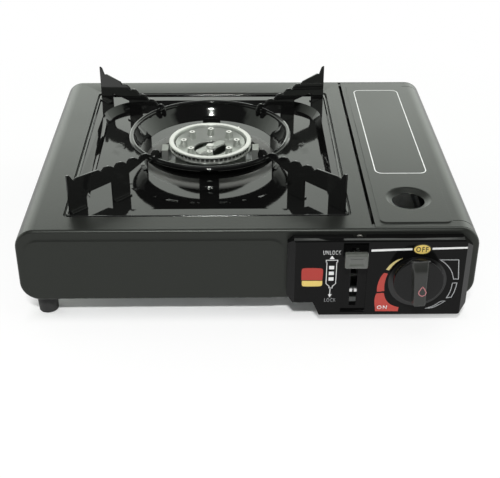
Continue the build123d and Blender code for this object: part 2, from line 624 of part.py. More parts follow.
# dished plate with a skirt that stands in the ring, open in the middle
PLATE_R, PLATE_HOLE_R = RING_IN_R - 1.2, 14.0
PLATE_Z = RING_BASE - 2.0
with BuildPart() as burner_plate:
    with BuildSketch(Plane.XZ.offset(-PAN_Y)):
        with BuildLine():
            Polyline(
                (PAN_X + PLATE_HOLE_R, PLATE_Z),
                (PAN_X + PLATE_HOLE_R + 2, PLATE_Z + 0.4),
                (PAN_X + PLATE_R, RING_TOP - 2.2),
                (PAN_X + PLATE_R, RING_BASE + 1.1),
                (PAN_X + PLATE_R - 1, RING_BASE + 1.1),
                (PAN_X + PLATE_R - 1, RING_TOP - 3.6),
                (PAN_X + PLATE_HOLE_R + 2, PLATE_Z - 0.8),
                (PAN_X + PLATE_HOLE_R, PLATE_Z - 1.2),
                close=True,
            )
        make_face()
    revolve(axis=Axis((PAN_X, PAN_Y, 0), (0, 0, 1)))
    with Locations((PAN_X, PAN_Y, PLATE_Z + 1.6)):
        with PolarLocations(POST_CIRCLE_R, POSTS):
            Cone(POST_R + 0.8, POST_R, RING_TOP - PLATE_Z - 1.4, align=ON_BASE)
    with Locations((PAN_X, PAN_Y, PLATE_Z - 2)):
        with PolarLocations(POST_CIRCLE_R, POSTS):
            Cylinder(0.9, RING_TOP - PLATE_Z + 4, align=ON_BASE, mode=Mode.SUBTRACT)
save(burner_plate, "burner_plate")

# slanting bridge over the opening, with a domed boss
BAR_L, BAR_W, BAR_TURN, BOSS_R = 31.6, 8.0, 44.0, 5.2
with BuildPart() as burner_cap:
    with BuildSketch(Plane.XY.offset(PLATE_Z + 0.5)):
        with Locations((PAN_X, PAN_Y)):
            SlotOverall(BAR_L, BAR_W, rotation=BAR_TURN)
    extrude(amount=1.2, taper=20)
    with Locations((PAN_X, PAN_Y, PLATE_Z + 0.6)):
        Cone(BOSS_R, BOSS_R - 2.2, 2.6, align=ON_BASE)
save(burner_cap, "burner_cap")

# mixing tube: open venturi mouth near the jet, elbow rising under the cup
JET_X, JET_Y = SEAM_X - 7.3, FRONT_Y + 67.0
TUBE_MOUTH_X = JET_X - 9
tube_dx, tube_dy = PAN_X - TUBE_MOUTH_X, PAN_Y - JET_Y
TUBE_L = hypot(tube_dx, tube_dy)
tube_plane = Plane(
    origin=(TUBE_MOUTH_X, JET_Y, TUBE_Z), x_dir=(0, 0, 1), z_dir=(tube_dx, tube_dy, 0)
)
side_plane = Plane(
    origin=(TUBE_MOUTH_X, JET_Y, TUBE_Z),
    x_dir=(tube_dx, tube_dy, 0),
    z_dir=Vector(tube_dx, tube_dy, 0).cross(Vector(0, 0, 1)),
)
with BuildPart() as mixing_tube:
    with BuildSketch(side_plane):
        with BuildLine():
            tube_line = Polyline(
                (0, 9.6), (6, 9.6), (16, 7.8), (34, 7.8), (60, TUBE_R), (TUBE_L, TUBE_R)
            )
            Polyline(tube_line @ 1, (TUBE_L, 0), (0, 0), tube_line @ 0)
        make_face()
    revolve(axis=Axis((TUBE_MOUTH_X, JET_Y, TUBE_Z), (tube_dx, tube_dy, 0)))
    with Locations((PAN_X, PAN_Y, GROUND + 0.8)):
        Cylinder(
            RISER_R, RING_BASE - CUP_H - 5.6 - GROUND, align=ON_BASE
        )
    with Locations((PAN_X, PAN_Y, GROUND + 3)):
        Cylinder(RISER_R - 2.4, TOP_Z, align=ON_BASE, mode=Mode.SUBTRACT)
    with BuildSketch(side_plane):
        with BuildLine():
            bore_line = Polyline(
                (-1, 8.4), (5, 8.4), (16, 5.8), (34, 5.8), (60, TUBE_BORE_R), (TUBE_L, TUBE_BORE_R)
            )
            Polyline(bore_line @ 1, (TUBE_L, 0), (-1, 0), bore_line @ 0)
        make_face()
    revolve(axis=Axis((TUBE_MOUTH_X, JET_Y, TUBE_Z), (tube_dx, tube_dy, 0)), mode=Mode.SUBTRACT)
save(mixing_tube, "mixing_tube")

# bright bracket that carries the burner between two uprights
BRIDGE_Z = TOP_Z
SHELF_FROM, CHEEK_H = 26.2, 22.0
with BuildPart() as burner_bracket:
    for sx in (-1, 1):
        shelf = BRACKET_HALF - SHELF_FROM
        with Locations((PAN_X + sx * (SHELF_FROM + shelf / 2), PAN_Y, TOP_Z - 15)):
            Box(shelf, BRACKET_W, BRACKET_T)
        tab = BRACKET_HALF - RING_R - 0.6
        tab_x = PAN_X + sx * (RING_R + 0.6 + tab / 2)
        with Locations((tab_x, PAN_Y, BRIDGE_Z - BRACKET_T / 2)):
            Box(tab, BRACKET_W, BRACKET_T)
        # cheeks turned down from the top, front and rear
        with Locations((tab_x, PAN_Y, BRIDGE_Z - CHEEK_H / 2)):
            with GridLocations(1, BRACKET_W - BRACKET_T, 1, 2):
                Box(tab, BRACKET_T, CHEEK_H)
        leg_h = BRIDGE_Z - GROUND - 0.6
        with Locations((PAN_X + sx * (BRACKET_HALF - BRACKET_T / 2), PAN_Y, BRIDGE_Z - leg_h / 2)):
            Box(BRACKET_T, BRACKET_W, leg_h)
        with Locations((PAN_X + sx * (BRACKET_HALF - 12), PAN_Y, GROUND + 0.6 + BRACKET_T / 2)):
            Box(24, BRACKET_W, BRACKET_T)
save(burner_bracket, "burner_bracket")

electrode_x, electrode_y = polar(PAN_X, PAN_Y, 39.2, 52)
with BuildPart() as electrode:
    with Locations((electrode_x, electrode_y, TOP_Z - 22)):
        Cylinder(2.2, 21, align=ON_BASE)
    with Locations((electrode_x, electrode_y, TOP_Z - 22)):
        Cylinder(0.7, 26.5, align=ON_BASE)
    tip_a = atan2(PAN_Y - electrode_y, PAN_X - electrode_x)
    with BuildSketch(Plane(origin=(electrode_x, electrode_y, TOP_Z + 3.8),
                           x_dir=(0, 0, 1), z_dir=(cos(tip_a), sin(tip_a), 0))):
        Circle(0.7)
    extrude(amount=3.2)
save(electrode, "electrode")

with BuildPart() as electrode_bracket:
    ex, ey = electrode_x, electrode_y
    floor_z = GROUND + 0.6
    with Locations((ex, ey, TOP_Z - 23.4)):
        Cylinder(4.2, 1.4, align=ON_BASE)
    with Locations((ex + 4, ey, (floor_z + TOP_Z - 22) / 2)):
        Box(1.2, 8, TOP_Z - 22 - floor_z)
    with Locations((ex + 8.4, ey, floor_z + 0.6)):
        Box(10, 8, 1.2)
save(electrode_bracket, "electrode_bracket")

# ================================================================= gas side
GOV_FRONT, GOV_BACK = FRONT_Y + 17.0, FRONT_Y + 38.0
GOV_W = 34.0
OUTLET_Y = GOV_FRONT + 14.0
GOV_LOW, GOV_TOP = CART_Z - 13.1, KNOB_Z + 15.4
with BuildPart() as governor_body:
    with BuildSketch(xz(GOV_BACK)):
        with Locations((KNOB_X + 4, (GOV_LOW + GOV_TOP) / 2)):
            RectangleRounded(GOV_W, GOV_TOP - GOV_LOW, 4)
        with Locations((CART_X, CART_Z)):
            Circle(13)
    extrude(amount=GOV_BACK - GOV_FRONT)
    # threaded gland for the spindle, at the front
    with Locations((KNOB_X, GOV_FRONT, KNOB_Z)):
        with Locations(Rotation(90, 0, 0)):
            Cylinder(6.0, 5.0, align=ON_BASE)
    with BuildSketch(xz(GOV_FRONT + 8)):
        with Locations((KNOB_X, KNOB_Z)):
            Circle(SPINDLE_R + PIN_FIT)
    extrude(amount=20, mode=Mode.SUBTRACT)
    # outlet port on the left
    with BuildSketch(Plane.YZ.offset(KNOB_X + 4 - GOV_W / 2)):
        with Locations((OUTLET_Y, TUBE_Z + 6)):
            Circle(4.5)
    extrude(amount=-3.0)
    # inlet for the cartridge valve
    with BuildSketch(xz(GOV_BACK + 1)):
        with Locations((CART_X, CART_Z)):
            Circle(3.0)
    extrude(amount=9, mode=Mode.SUBTRACT)
save(governor_body, "governor_body")

with BuildPart() as governor_cap:
    # pressed diaphragm cover below the body
    with Locations((KNOB_X + 4, (GOV_FRONT + GOV_BACK) / 2, GOV_LOW)):
        Cylinder(10.0, 2.2, align=(Align.CENTER, Align.CENTER, Align.MAX))
    with Locations((KNOB_X + 4, (GOV_FRONT + GOV_BACK) / 2, GOV_LOW - 2.2)):
        Cylinder(6.0, 3.0, align=(Align.CENTER, Align.CENTER, Align.MAX))
save(governor_cap, "governor_cap")

SEAT_R_IN, SEAT_R_OUT = 17.4, 21.0
with BuildPart() as cartridge_seat:
    # dished collar that centres the cartridge's valve cup
    with BuildSketch(xz(SEAT_Y)):
        with Locations((CART_X, CART_Z)):
            Circle(SEAT_R_OUT)
    extrude(amount=SEAT_Y - GOV_BACK)
    with BuildSketch(xz(SEAT_Y)):
        with Locations((CART_X, CART_Z)):
            Circle(SEAT_R_IN)
    extrude(amount=5.0, mode=Mode.SUBTRACT)
    with BuildSketch(xz(SEAT_Y)):
        with Locations((CART_X, CART_Z)):
            Circle(4.0)
        # locating key at the top, which the notch in the cartridge collar meets
        with Locations((CART_X, CART_Z + SEAT_R_IN + 1.5)):
            Rectangle(5.0, 4.5)
    extrude(amount=SEAT_Y - GOV_BACK, mode=Mode.SUBTRACT)
save(cartridge_seat, "cartridge_seat")

with BuildPart() as seat_seal:
    with BuildSketch(xz(SEAT_Y - 5.0)):
        with Locations((CART_X, CART_Z)):
            Circle(4.0)
            Circle(1.6, mode=Mode.SUBTRACT)
    extrude(amount=SEAT_Y - 5.0 - GOV_BACK)
save(seat_seal, "seat_seal")

with BuildPart() as governor_bracket:
    plate_x = KNOB_X + 4 + GOV_W / 2
    with Locations((plate_x + 0.75, (GOV_FRONT + GOV_BACK) / 2, (GROUND + KNOB_Z + 10) / 2)):
        Box(1.5, 18, KNOB_Z + 10 - GROUND)
    with Locations((plate_x + 5, (GOV_FRONT + GOV_BACK) / 2, GROUND + 0.75)):
        Box(10, 18, 1.5)
save(governor_bracket, "governor_bracket")

# brass feed pipe from governor outlet to the jet
PIPE_R = 2.5
PIPE_X = SEAM_X + 6.1
PIPE_Z = TUBE_Z
OUT_X = KNOB_X + 4 - GOV_W / 2 - 3.0
with BuildPart() as gas_pipe:
    with BuildLine() as pipe_path:
        FilletPolyline(
            (OUT_X, OUTLET_Y, PIPE_Z + 6),
            (PIPE_X, OUTLET_Y, PIPE_Z + 6),
            (PIPE_X, JET_Y - 14, PIPE_Z),
            (PIPE_X, JET_Y, PIPE_Z),
            (JET_X + 2.5, JET_Y, PIPE_Z),
            radius=4.5,
        )
    with BuildSketch(Plane(origin=(OUT_X, OUTLET_Y, PIPE_Z + 6), z_dir=(-1, 0, 0))):
        Circle(PIPE_R)
    sweep()
save(gas_pipe, "gas_pipe")

with BuildPart() as gas_jet:
    with BuildSketch(Plane.YZ.offset(JET_X + 2.5)):
        with Locations((JET_Y, TUBE_Z)):
            RegularPolygon(4.6, 6)
    extrude(amount=-5)
    with BuildSketch(Plane.YZ.offset(JET_X - 2.5)):
        with Locations((JET_Y, TUBE_Z)):
            Circle(3.0)
    extrude(amount=-4.0, taper=15)
    with BuildSketch(Plane.YZ.offset(JET_X + 3)):
        with Locations((JET_Y, TUBE_Z)):
            Circle(0.6)
    extrude(amount=-12, mode=Mode.SUBTRACT)
save(gas_jet, "gas_jet")

PIEZO_Y = FRONT_Y + 11.0
PIEZO_X = KNOB_X + 16.0
with BuildPart() as piezo_igniter:
    with BuildSketch(Plane.YZ.offset(PIEZO_X)):
        with Locations((PIEZO_Y, KNOB_Z)):
            RectangleRounded(10.6, 12, 2)
    extrude(amount=HALF_W - 5.5 - PIEZO_X)
    with BuildSketch(Plane.YZ.offset(PIEZO_X)):
        with Locations((PIEZO_Y, KNOB_Z)):
            Circle(2.4)
    extrude(amount=-5.5)
save(piezo_igniter, "piezo_igniter")

# ================================================================= control knob
RING_Y = BEZEL_Y
DISC_BACK = BEZEL_Y - KNOB_RING_T - CLEAR
DISC_FRONT = DISC_BACK - KNOB_DISC_T
with BuildPart() as knob_dial_ring:
    with BuildSketch(xz(RING_Y)):
        with Locations((KNOB_X, KNOB_Z)):
            Circle(KNOB_RING_R)
            Circle(7.5, mode=Mode.SUBTRACT)
    extrude(amount=KNOB_RING_T, taper=25)
save(knob_dial_ring, "knob_dial_ring")

with BuildPart() as control_knob:
    with BuildSketch(xz(DISC_BACK)):
        with Locations((KNOB_X, KNOB_Z)):
            Circle(KNOB_R)
    extrude(amount=KNOB_DISC_T, taper=4)
    fillet(faces().sort_by(Axis.Y)[0].edges(), 1.6)
    # tapered grip bar across the face
    grip_plane = Plane(
        origin=(KNOB_X, DISC_BACK - 3, KNOB_Z),
        x_dir=(cos(radians(GRIP_TURN)), 0, sin(radians(GRIP_TURN))),
        z_dir=(0, -1, 0),
    )
    with BuildSketch(grip_plane):
        with BuildLine():
            top_w, low_w = GRIP_TOP_W / 2, GRIP_LOW_W / 2
            Polyline(
                (-top_w, KNOB_R - 1.5), (-low_w, -KNOB_R + 0.6), (low_w, -KNOB_R + 0.6), (top_w, KNOB_R - 1.5),
                close=True,
            )
        make_face()
    grip_t = DISC_BACK - 3 - (FRONT_Y - KNOB_REACH)
    extrude(amount=grip_t, taper=6)
    chamfer(faces().sort_by(Axis.Y)[0].edges(), 1.0)
    with BuildSketch(xz(DISC_BACK)):
        with Locations((KNOB_X, KNOB_Z)):
            Circle(KNOB_R - 2.4)
            Circle(SPINDLE_R + 3, mode=Mode.SUBTRACT)
    extrude(amount=KNOB_DISC_T - 3, mode=Mode.SUBTRACT)
    with BuildSketch(xz(DISC_BACK)):
        with Locations((KNOB_X, KNOB_Z)):
            Circle(SPINDLE_R + 0.02)
    extrude(amount=KNOB_DISC_T, mode=Mode.SUBTRACT)
save(control_knob, "control_knob")

with BuildPart() as valve_spindle:
    spindle_end = GOV_FRONT + 7
    with BuildSketch(xz(spindle_end)):
        with Locations((KNOB_X, KNOB_Z)):
            Circle(SPINDLE_R)
    extrude(amount=spindle_end - (DISC_BACK - KNOB_DISC_T + 0.1))
save(valve_spindle, "valve_spindle")

with BuildPart() as igniter_cam:
    with BuildSketch(xz(GOV_FRONT - 5.4)):
        with Locations((KNOB_X, KNOB_Z)):
            Circle(7.0)
        with Locations(polar(KNOB_X, KNOB_Z, 6.2, 235)):
            Circle(3.2)
        with Locations((KNOB_X, KNOB_Z)):
            Circle(SPINDLE_R + 0.02, mode=Mode.SUBTRACT)
    extrude(amount=4.5)
save(igniter_cam, "igniter_cam")

# ================================================================= bezel
with BuildPart() as control_bezel:
    with BuildSketch(xz(FRONT_Y)):
        with BuildLine():
            Polyline(
                (BEZEL_LEFT, BEZEL_STEP_Z),
                (BEZEL_STEP_X, BEZEL_STEP_Z),
                (BEZEL_STEP_X + 5, BEZEL_BOTTOM),
                (BEZEL_RIGHT, BEZEL_BOTTOM),
                (BEZEL_RIGHT, BEZEL_TOP),
                (BEZEL_LEFT, BEZEL_TOP),
                close=True,
            )
        make_face()
    extrude(amount=BEZEL_P)
    chamfer(edges().filter_by(Axis.Y).group_by(Axis.X)[0], 4.5)
    chamfer(edges().filter_by(Axis.Y).group_by(Axis.X)[-1], 7.5)
    # wide bevels at both ends, a narrow edge along the top and the bottom
    for end_x, out_x in ((BEZEL_LEFT, 1), (BEZEL_RIGHT, -1)):
        with BuildSketch(Plane.XY.offset(BEZEL_BOTTOM - 1)):
            with BuildLine():
                Polyline(
                    (end_x - out_x, FRONT_Y - BEZEL_P - 1),
                    (end_x + out_x * BEVEL_SIDE, FRONT_Y - BEZEL_P - 1),
                    (end_x + out_x * BEVEL_SIDE, FRONT_Y - BEZEL_P),
                    (end_x, FRONT_Y - BEZEL_P + BEVEL_SIDE_P),
                    (end_x - out_x, FRONT_Y - BEZEL_P + BEVEL_SIDE_P),
                    close=True,
                )
            make_face()
        extrude(amount=BEZEL_TOP - BEZEL_BOTTOM + 2, mode=Mode.SUBTRACT)
    front_edges = faces().sort_by(Axis.Y)[0].edges().filter_by(Axis.X)
    chamfer(front_edges, BEVEL_EDGE)
    # hollow behind the bevelled face
    with BuildSketch(xz(FRONT_Y)):
        with Locations(((BEZEL_STEP_X + BEZEL_RIGHT) / 2 + 2, (BEZEL_TOP + BEZEL_BOTTOM) / 2 - 1.5)):
            Rectangle(BEZEL_RIGHT - BEZEL_STEP_X - 18, BEZEL_TOP - BEZEL_BOTTOM - 16)
    extrude(amount=BEZEL_P - CHANNEL_DEPTH - BEZEL_WALL, mode=Mode.SUBTRACT)
    # lever channel, its slit, and the spindle hole
    with BuildSketch(xz(BEZEL_Y)):
        with Locations((LEVER_X, (BEZEL_TOP + SLIT_LOW) / 2 - 3)):
            Rectangle(CHANNEL_W, BEZEL_TOP - SLIT_LOW + 3)
    extrude(amount=-CHANNEL_DEPTH, mode=Mode.SUBTRACT)
    with BuildSketch(xz(FRONT_Y + 1)):
        with Locations((LEVER_X, (SLIT_LOW + SLIT_HIGH) / 2)):
            Rectangle(SLIT_W, SLIT_HIGH - SLIT_LOW)
        with Locations((KNOB_X, KNOB_Z)):
            Circle(SPINDLE_R + 3)
    extrude(amount=BEZEL_P + 2, mode=Mode.SUBTRACT)
    # notch over the panel screw
    with Locations((SCREW_X, FRONT_Y, BEZEL_TOP)):
        Box(10, 9, 10.0, mode=Mode.SUBTRACT)
save(control_bezel, "control_bezel")

# ================================================================= lock lever
LEVER_A = degrees(atan2(TAB_Z - PIVOT_Z, -(TAB_Y - PIVOT_Y)))
DRIVE_A = LEVER_TRAVEL / 2
drive_y = PIVOT_Y + DRIVE_L * sin(radians(DRIVE_A))
drive_z = PIVOT_Z + DRIVE_L * cos(radians(DRIVE_A))
LEVER_LEFT = LEVER_X - LEVER_T / 2
with BuildPart() as lock_lever:
    with BuildSketch(Plane.YZ.offset(LEVER_LEFT)):
        with Locations((PIVOT_Y, PIVOT_Z)):
            Circle(7.0)
        with BuildLine():
            Polyline(
                (PIVOT_Y + 5.5, PIVOT_Z - 3),
                (drive_y + 4.2, drive_z),
                (drive_y + 2, drive_z + 4),
                (drive_y - 2.5, drive_z + 4),
                (PIVOT_Y - 5, PIVOT_Z + 11),
                (TAB_Y + 8, TAB_Z + 2.6),
                (TAB_Y + 0.5, TAB_Z + 2.6),
                (TAB_Y + 0.5, TAB_Z - 3.4),
                (TAB_Y + 8, TAB_Z - 4.6),
                (PIVOT_Y - 5.5, PIVOT_Z - 4.4),
                close=True,
            )
        make_face()
        with Locations((PIVOT_Y, PIVOT_Z)):
            Circle(PIVOT_R + PIN_FIT, mode=Mode.SUBTRACT)
    extrude(amount=LEVER_T)
    # drive peg that reaches the carriage through the heat shield wall
    with BuildSketch(Plane.YZ.offset(LEVER_LEFT + LEVER_T)):
        with Locations((drive_y, drive_z)):
            Circle(DRIVE_R)
    extrude(amount=SEAM_X + 4.3 - LEVER_LEFT - LEVER_T)
save(lock_lever, "lock_lever")

with BuildPart() as lever_tab:
    with Locations((LEVER_X, TAB_Y, TAB_Z)):
        Box(TAB_W, TAB_T, TAB_H)
    fillet(edges().filter_by(Axis.X), 1.8)
    with Locations((LEVER_X, TAB_Y + TAB_T / 2, TAB_Z - 0.6)):
        Box(LEVER_T, 5.0, 7.2, mode=Mode.SUBTRACT)
save(lever_tab, "lever_tab")

with BuildPart() as lever_bracket:
    with BuildSketch(Plane.YZ.offset(LEVER_LEFT + LEVER_T + 0.6)):
        with Locations((PIVOT_Y, (GROUND + PIVOT_Z + 6) / 2)):
            Rectangle(14, PIVOT_Z + 6 - GROUND)
        with Locations((PIVOT_Y, PIVOT_Z)):
            Circle(PIVOT_R, mode=Mode.SUBTRACT)
    extrude(amount=1.5)
    with Locations((LEVER_LEFT + LEVER_T + 0.6 + 3.2, PIVOT_Y, GROUND + 0.75)):
        Box(6.4, 14, 1.5)
save(lever_bracket, "lever_bracket")

with BuildPart() as lever_pin:
    with BuildSketch(Plane.YZ.offset(LEVER_LEFT - 0.4)):
        with Locations((PIVOT_Y, PIVOT_Z)):
            Circle(PIVOT_R)
    extrude(amount=4.6)
    with BuildSketch(Plane.YZ.offset(LEVER_LEFT - 0.4)):
        with Locations((PIVOT_Y, PIVOT_Z)):
            Circle(PIVOT_R + 1.6)
    extrude(amount=-1.2)
save(lever_pin, "lever_pin")

# ================================================================= carriage
CARRIAGE_T = 1.2
CARRIAGE_Z = GROUND + 0.3
STRIP_X0, STRIP_X1 = SEAM_X + 1.3, SEAM_X + 13.3
STOP_Y = SEAT_Y + CART_L + 13.0
STOP_X1, STOP_Z = CART_X + 14.5, CART_Z + 17.8
with BuildPart() as cartridge_carriage:
    with BuildSketch(Plane.XY.offset(CARRIAGE_Z)):
        with Locations(((STRIP_X0 + STRIP_X1) / 2, (PIVOT_Y - 12 + STOP_Y) / 2)):
            Rectangle(STRIP_X1 - STRIP_X0, STOP_Y - PIVOT_Y + 12)
    extrude(amount=CARRIAGE_T)
    # upright that the lever's peg moves
    with BuildSketch(Plane.YZ.offset(STRIP_X0)):
        with BuildLine():
            Polyline(
                (PIVOT_Y - 8, CARRIAGE_Z),
                (PIVOT_Y - 8, CARRIAGE_Z + 6),
                (drive_y - 7, drive_z - 8),
                (drive_y - 7, drive_z + 7),
                (drive_y + 7, drive_z + 7),
                (drive_y + 7, CARRIAGE_Z),
                close=True,
            )
        make_face()
        with Locations((drive_y, drive_z + 0.4)):
            SlotOverall(2 * DRIVE_R + 5, 2 * DRIVE_R + 0.6, rotation=90, mode=Mode.SUBTRACT)
    extrude(amount=CARRIAGE_T)
    # rear stop that pushes the cartridge's base
    with BuildSketch(xz(STOP_Y)):
        with Locations(((STRIP_X0 + STOP_X1) / 2, (CARRIAGE_Z + STOP_Z) / 2)):
            RectangleRounded(STOP_X1 - STRIP_X0, STOP_Z - CARRIAGE_Z, 3)
    extrude(amount=CARRIAGE_T)
save(cartridge_carriage, "cartridge_carriage")

with BuildPart() as carriage_guides:
    for gy in (SEAT_Y + 26.0, STOP_Y - 36.0):
        with Locations((STRIP_X1 + 1.5, gy, GROUND + 1.4)):
            Box(2.0, 12, 2.8)
        with Locations((STRIP_X1 - 0.5, gy, GROUND + 2.4)):
            Box(6.0, 12, 0.8)
save(carriage_guides, "carriage_guides")

# ================================================================= lid
PANEL_X0, PANEL_X1 = LID_FROM + 4.2, HALF_W - 19.5
LID_END_GAP = 0.6
with BuildPart() as cartridge_lid:
    with BuildSketch(xz(WRAP_BACK - LID_END_GAP)):
        wrap_ring()
        cut_region(-HALF_W - 1, LID_FROM, GROUND - 1, TOP_Z + 1)
        cut_region(0, HALF_W + 1, GROUND - 1, HINGE_Z + KNUCKLE_R + CLEAR)
    extrude(amount=WRAP_L - 2 * LID_END_GAP)
    with BuildSketch(xz(WRAP_BACK - 12)):
        with Locations((LID_FROM + SHEET / 2, TOP_Z - 3.5)):
            Rectangle(SHEET, 7)
    extrude(amount=WRAP_L - 24)
    # raised field, pressed up from the sheet
    panel_y = (WRAP_FRONT + WRAP_BACK) / 2
    with BuildSketch(Plane.XY.offset(TOP_Z)):
        with Locations(((PANEL_X0 + PANEL_X1) / 2, panel_y)):
            RectangleRounded(PANEL_X1 - PANEL_X0, WRAP_L - 12, 5)
    extrude(amount=LID_PANEL_RISE, taper=30)
    with BuildSketch(Plane.XY.offset(TOP_Z - SHEET)):
        with Locations(((PANEL_X0 + PANEL_X1) / 2, panel_y)):
            RectangleRounded(PANEL_X1 - PANEL_X0 - 2.4, WRAP_L - 14.4, 4)
    extrude(amount=SHEET, mode=Mode.SUBTRACT)
    # dished sight hole
    with Locations((SIGHT_X, SIGHT_Y, TOP_Z)):
        Cylinder(SIGHT_DISH_R, 6, mode=Mode.SUBTRACT)
    dish_top = TOP_Z + LID_PANEL_RISE
    with BuildSketch(Plane.XZ.offset(-SIGHT_Y)):
        with BuildLine():
            Polyline(
                (SIGHT_X + SIGHT_DISH_R, dish_top),
                (SIGHT_X + SIGHT_DISH_R - 3.2, dish_top - SIGHT_DROP + 0.5),
                (SIGHT_X + SIGHT_R + 0.6, dish_top - SIGHT_DROP),
                (SIGHT_X + SIGHT_R, dish_top - SIGHT_DROP - 0.3),
                (SIGHT_X + SIGHT_R, dish_top - SIGHT_DROP - SHEET),
                (SIGHT_X + SIGHT_DISH_R - 3.0, dish_top - SIGHT_DROP - SHEET + 0.3),
                (SIGHT_X + SIGHT_DISH_R, dish_top - SHEET),
                close=True,
            )
        make_face()
    revolve(axis=Axis((SIGHT_X, SIGHT_Y, 0), (0, 0, 1)))
    # relief cuts across the rounded edge, near both ends
    with BuildSketch(Plane.XY.offset(TOP_Z + 2)):
        for cut_y in (FRONT_Y + RELIEF_Y, BACK_Y - RELIEF_Y):
            with Locations((HALF_W - 9.0, cut_y)):
                Rectangle(20, 0.7)
    extrude(amount=-14, mode=Mode.SUBTRACT)
    knuckles(KNUCKLES_LID, HINGE_Z, HINGE_Z + KNUCKLE_R + CLEAR + 0.5)
save(cartridge_lid, "cartridge_lid")

with BuildPart() as hinge_pin:
    with BuildSketch(xz(KNUCKLES_BODY[-1][1])):
        with Locations((HINGE_X, HINGE_Z)):
            Circle(PIN_R)
    extrude(amount=KNUCKLES_BODY[-1][1] - KNUCKLES_BODY[0][0])
save(hinge_pin, "hinge_pin")
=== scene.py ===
import json
from math import cos, pi, radians, sin

import bmesh
import bpy
from mathutils import Matrix, Vector


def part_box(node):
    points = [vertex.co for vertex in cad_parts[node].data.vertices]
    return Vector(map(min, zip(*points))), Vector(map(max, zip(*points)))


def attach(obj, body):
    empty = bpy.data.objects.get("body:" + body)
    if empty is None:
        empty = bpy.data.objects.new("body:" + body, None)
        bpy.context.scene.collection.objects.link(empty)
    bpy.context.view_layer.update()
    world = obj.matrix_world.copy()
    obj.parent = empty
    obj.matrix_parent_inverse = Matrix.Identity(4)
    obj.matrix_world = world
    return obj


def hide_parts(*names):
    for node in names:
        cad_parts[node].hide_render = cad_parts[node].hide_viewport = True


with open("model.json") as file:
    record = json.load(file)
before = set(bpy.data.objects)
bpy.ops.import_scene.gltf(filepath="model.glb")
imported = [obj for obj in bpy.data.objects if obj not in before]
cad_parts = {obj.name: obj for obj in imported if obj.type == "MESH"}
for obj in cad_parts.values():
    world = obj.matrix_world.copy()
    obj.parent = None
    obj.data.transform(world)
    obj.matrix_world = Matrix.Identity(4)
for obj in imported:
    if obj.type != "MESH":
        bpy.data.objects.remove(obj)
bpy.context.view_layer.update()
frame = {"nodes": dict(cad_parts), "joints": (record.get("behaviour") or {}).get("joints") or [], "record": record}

# ---------------------------------------------------------------- casing panels
# Pressed steel sheet, 0.8 mm, painted satin black with a slight orange peel: the top plate
# that wraps round the left side, the right wall, the front and rear panels and the lid.
# The panels are screwed and folded together; the lid turns on a pin along the right wall.


class Tone:
    """A value in a node tree. Its operators add Math nodes to that tree."""

    def __init__(self, nodes, socket):
        self.nodes, self.socket = nodes, socket

    def math(self, operation, *values):
        return self.nodes.add("ShaderNodeMath", {"operation": operation}, dict(enumerate(values)))

    def __add__(self, other):
        return self.math("ADD", self, other)

    def __sub__(self, other):
        return self.math("SUBTRACT", self, other)

    def __mul__(self, other):
        return self.math("MULTIPLY", self, other)

    def __pow__(self, other):
        return self.math("POWER", self, other)

    def __rsub__(self, other):
        return self.math("SUBTRACT", other, self)

    def __abs__(self):
        return self.math("ABSOLUTE", self)

    __radd__, __rmul__ = __add__, __mul__

    def between(self, low, high):
        """0 at low, 1 at high, straight between and held outside."""
        return self.nodes.add(
            "ShaderNodeMapRange", {"clamp": True}, {0: self, 1: low, 2: high, 3: 0.0, 4: 1.0}
        )


class Nodes:
    """A node tree, the shader at its end and the place that its patterns read."""

    def __init__(self, tree, shader, place):
        self.tree, self.shader = tree, tree.nodes[shader]
        self.place = self.add("ShaderNodeTexCoord", out=place)

    def add(self, kind, settings=None, values=None, out=0):
        node = self.tree.nodes.new(kind)
        for key, value in (settings or {}).items():
            setattr(node, key, value)
        for key, value in (values or {}).items():
            if isinstance(value, Tone):
                self.tree.links.new(value.socket, node.inputs[key])
            else:
                node.inputs[key].default_value = value
        return Tone(self, node.outputs[out])

    def axis(self, letter):
        return self.add("ShaderNodeSeparateXYZ", None, {0: self.place}, letter)

    def mix(self, share, first, second):
        """A colour that runs from the first to the second with the share."""
        colors = {6: (*first, 1), 7: (*second, 1)}
        return self.add("ShaderNodeMix", {"data_type": "RGBA"}, {0: share, **colors}, out=2)

    def feed(self, **sockets):
        for socket, tone in sockets.items():
            self.tree.links.new(tone.socket, self.shader.inputs[socket.replace("_", " ")])


class Finish(Nodes):
    """One finish: a material and its node tree."""

    def __init__(self, name, color, roughness, **fixed):
        self.material = bpy.data.materials.new(name)
        self.material.use_nodes = True
        super().__init__(self.material.node_tree, "Principled BSDF", "Object")
        self.shader.inputs["Base Color"].default_value = (*color, 1)
        self.shader.inputs["Roughness"].default_value = roughness
        for socket, value in fixed.items():
            self.shader.inputs[socket.replace("_", " ")].default_value = value

    def noise(self, scale, detail=2.0):
        return self.add(
            "ShaderNodeTexNoise", None, {"Vector": self.place, "Scale": scale, "Detail": detail}
        )

    def bump(self, height, distance):
        """The height, from 0 to 1, stands out from the surface by the distance."""
        self.feed(Normal=self.add("ShaderNodeBump", None, {"Height": height, "Distance": distance}))

    def on(self, piece):
        piece.data.materials.clear()
        piece.data.materials.append(self.material)


paint = Finish(
    "satin_black_paint", (0.012, 0.0125, 0.0115), 0.36, IOR=1.4, Specular_Tint=(0.93, 1.0, 0.91, 1)
)
cloud, peel = paint.noise(9, 3), paint.noise(650, 1)
dust = paint.noise(260, 4).between(0.62, 0.74)
paint.feed(
    Base_Color=paint.mix(cloud * 0.6 + dust * 0.12, (0.0095, 0.010, 0.009), (0.0155, 0.016, 0.0147)),
    Roughness=cloud * 0.10 + peel * 0.05 + 0.29,
)
paint.bump(peel, 0.00003)

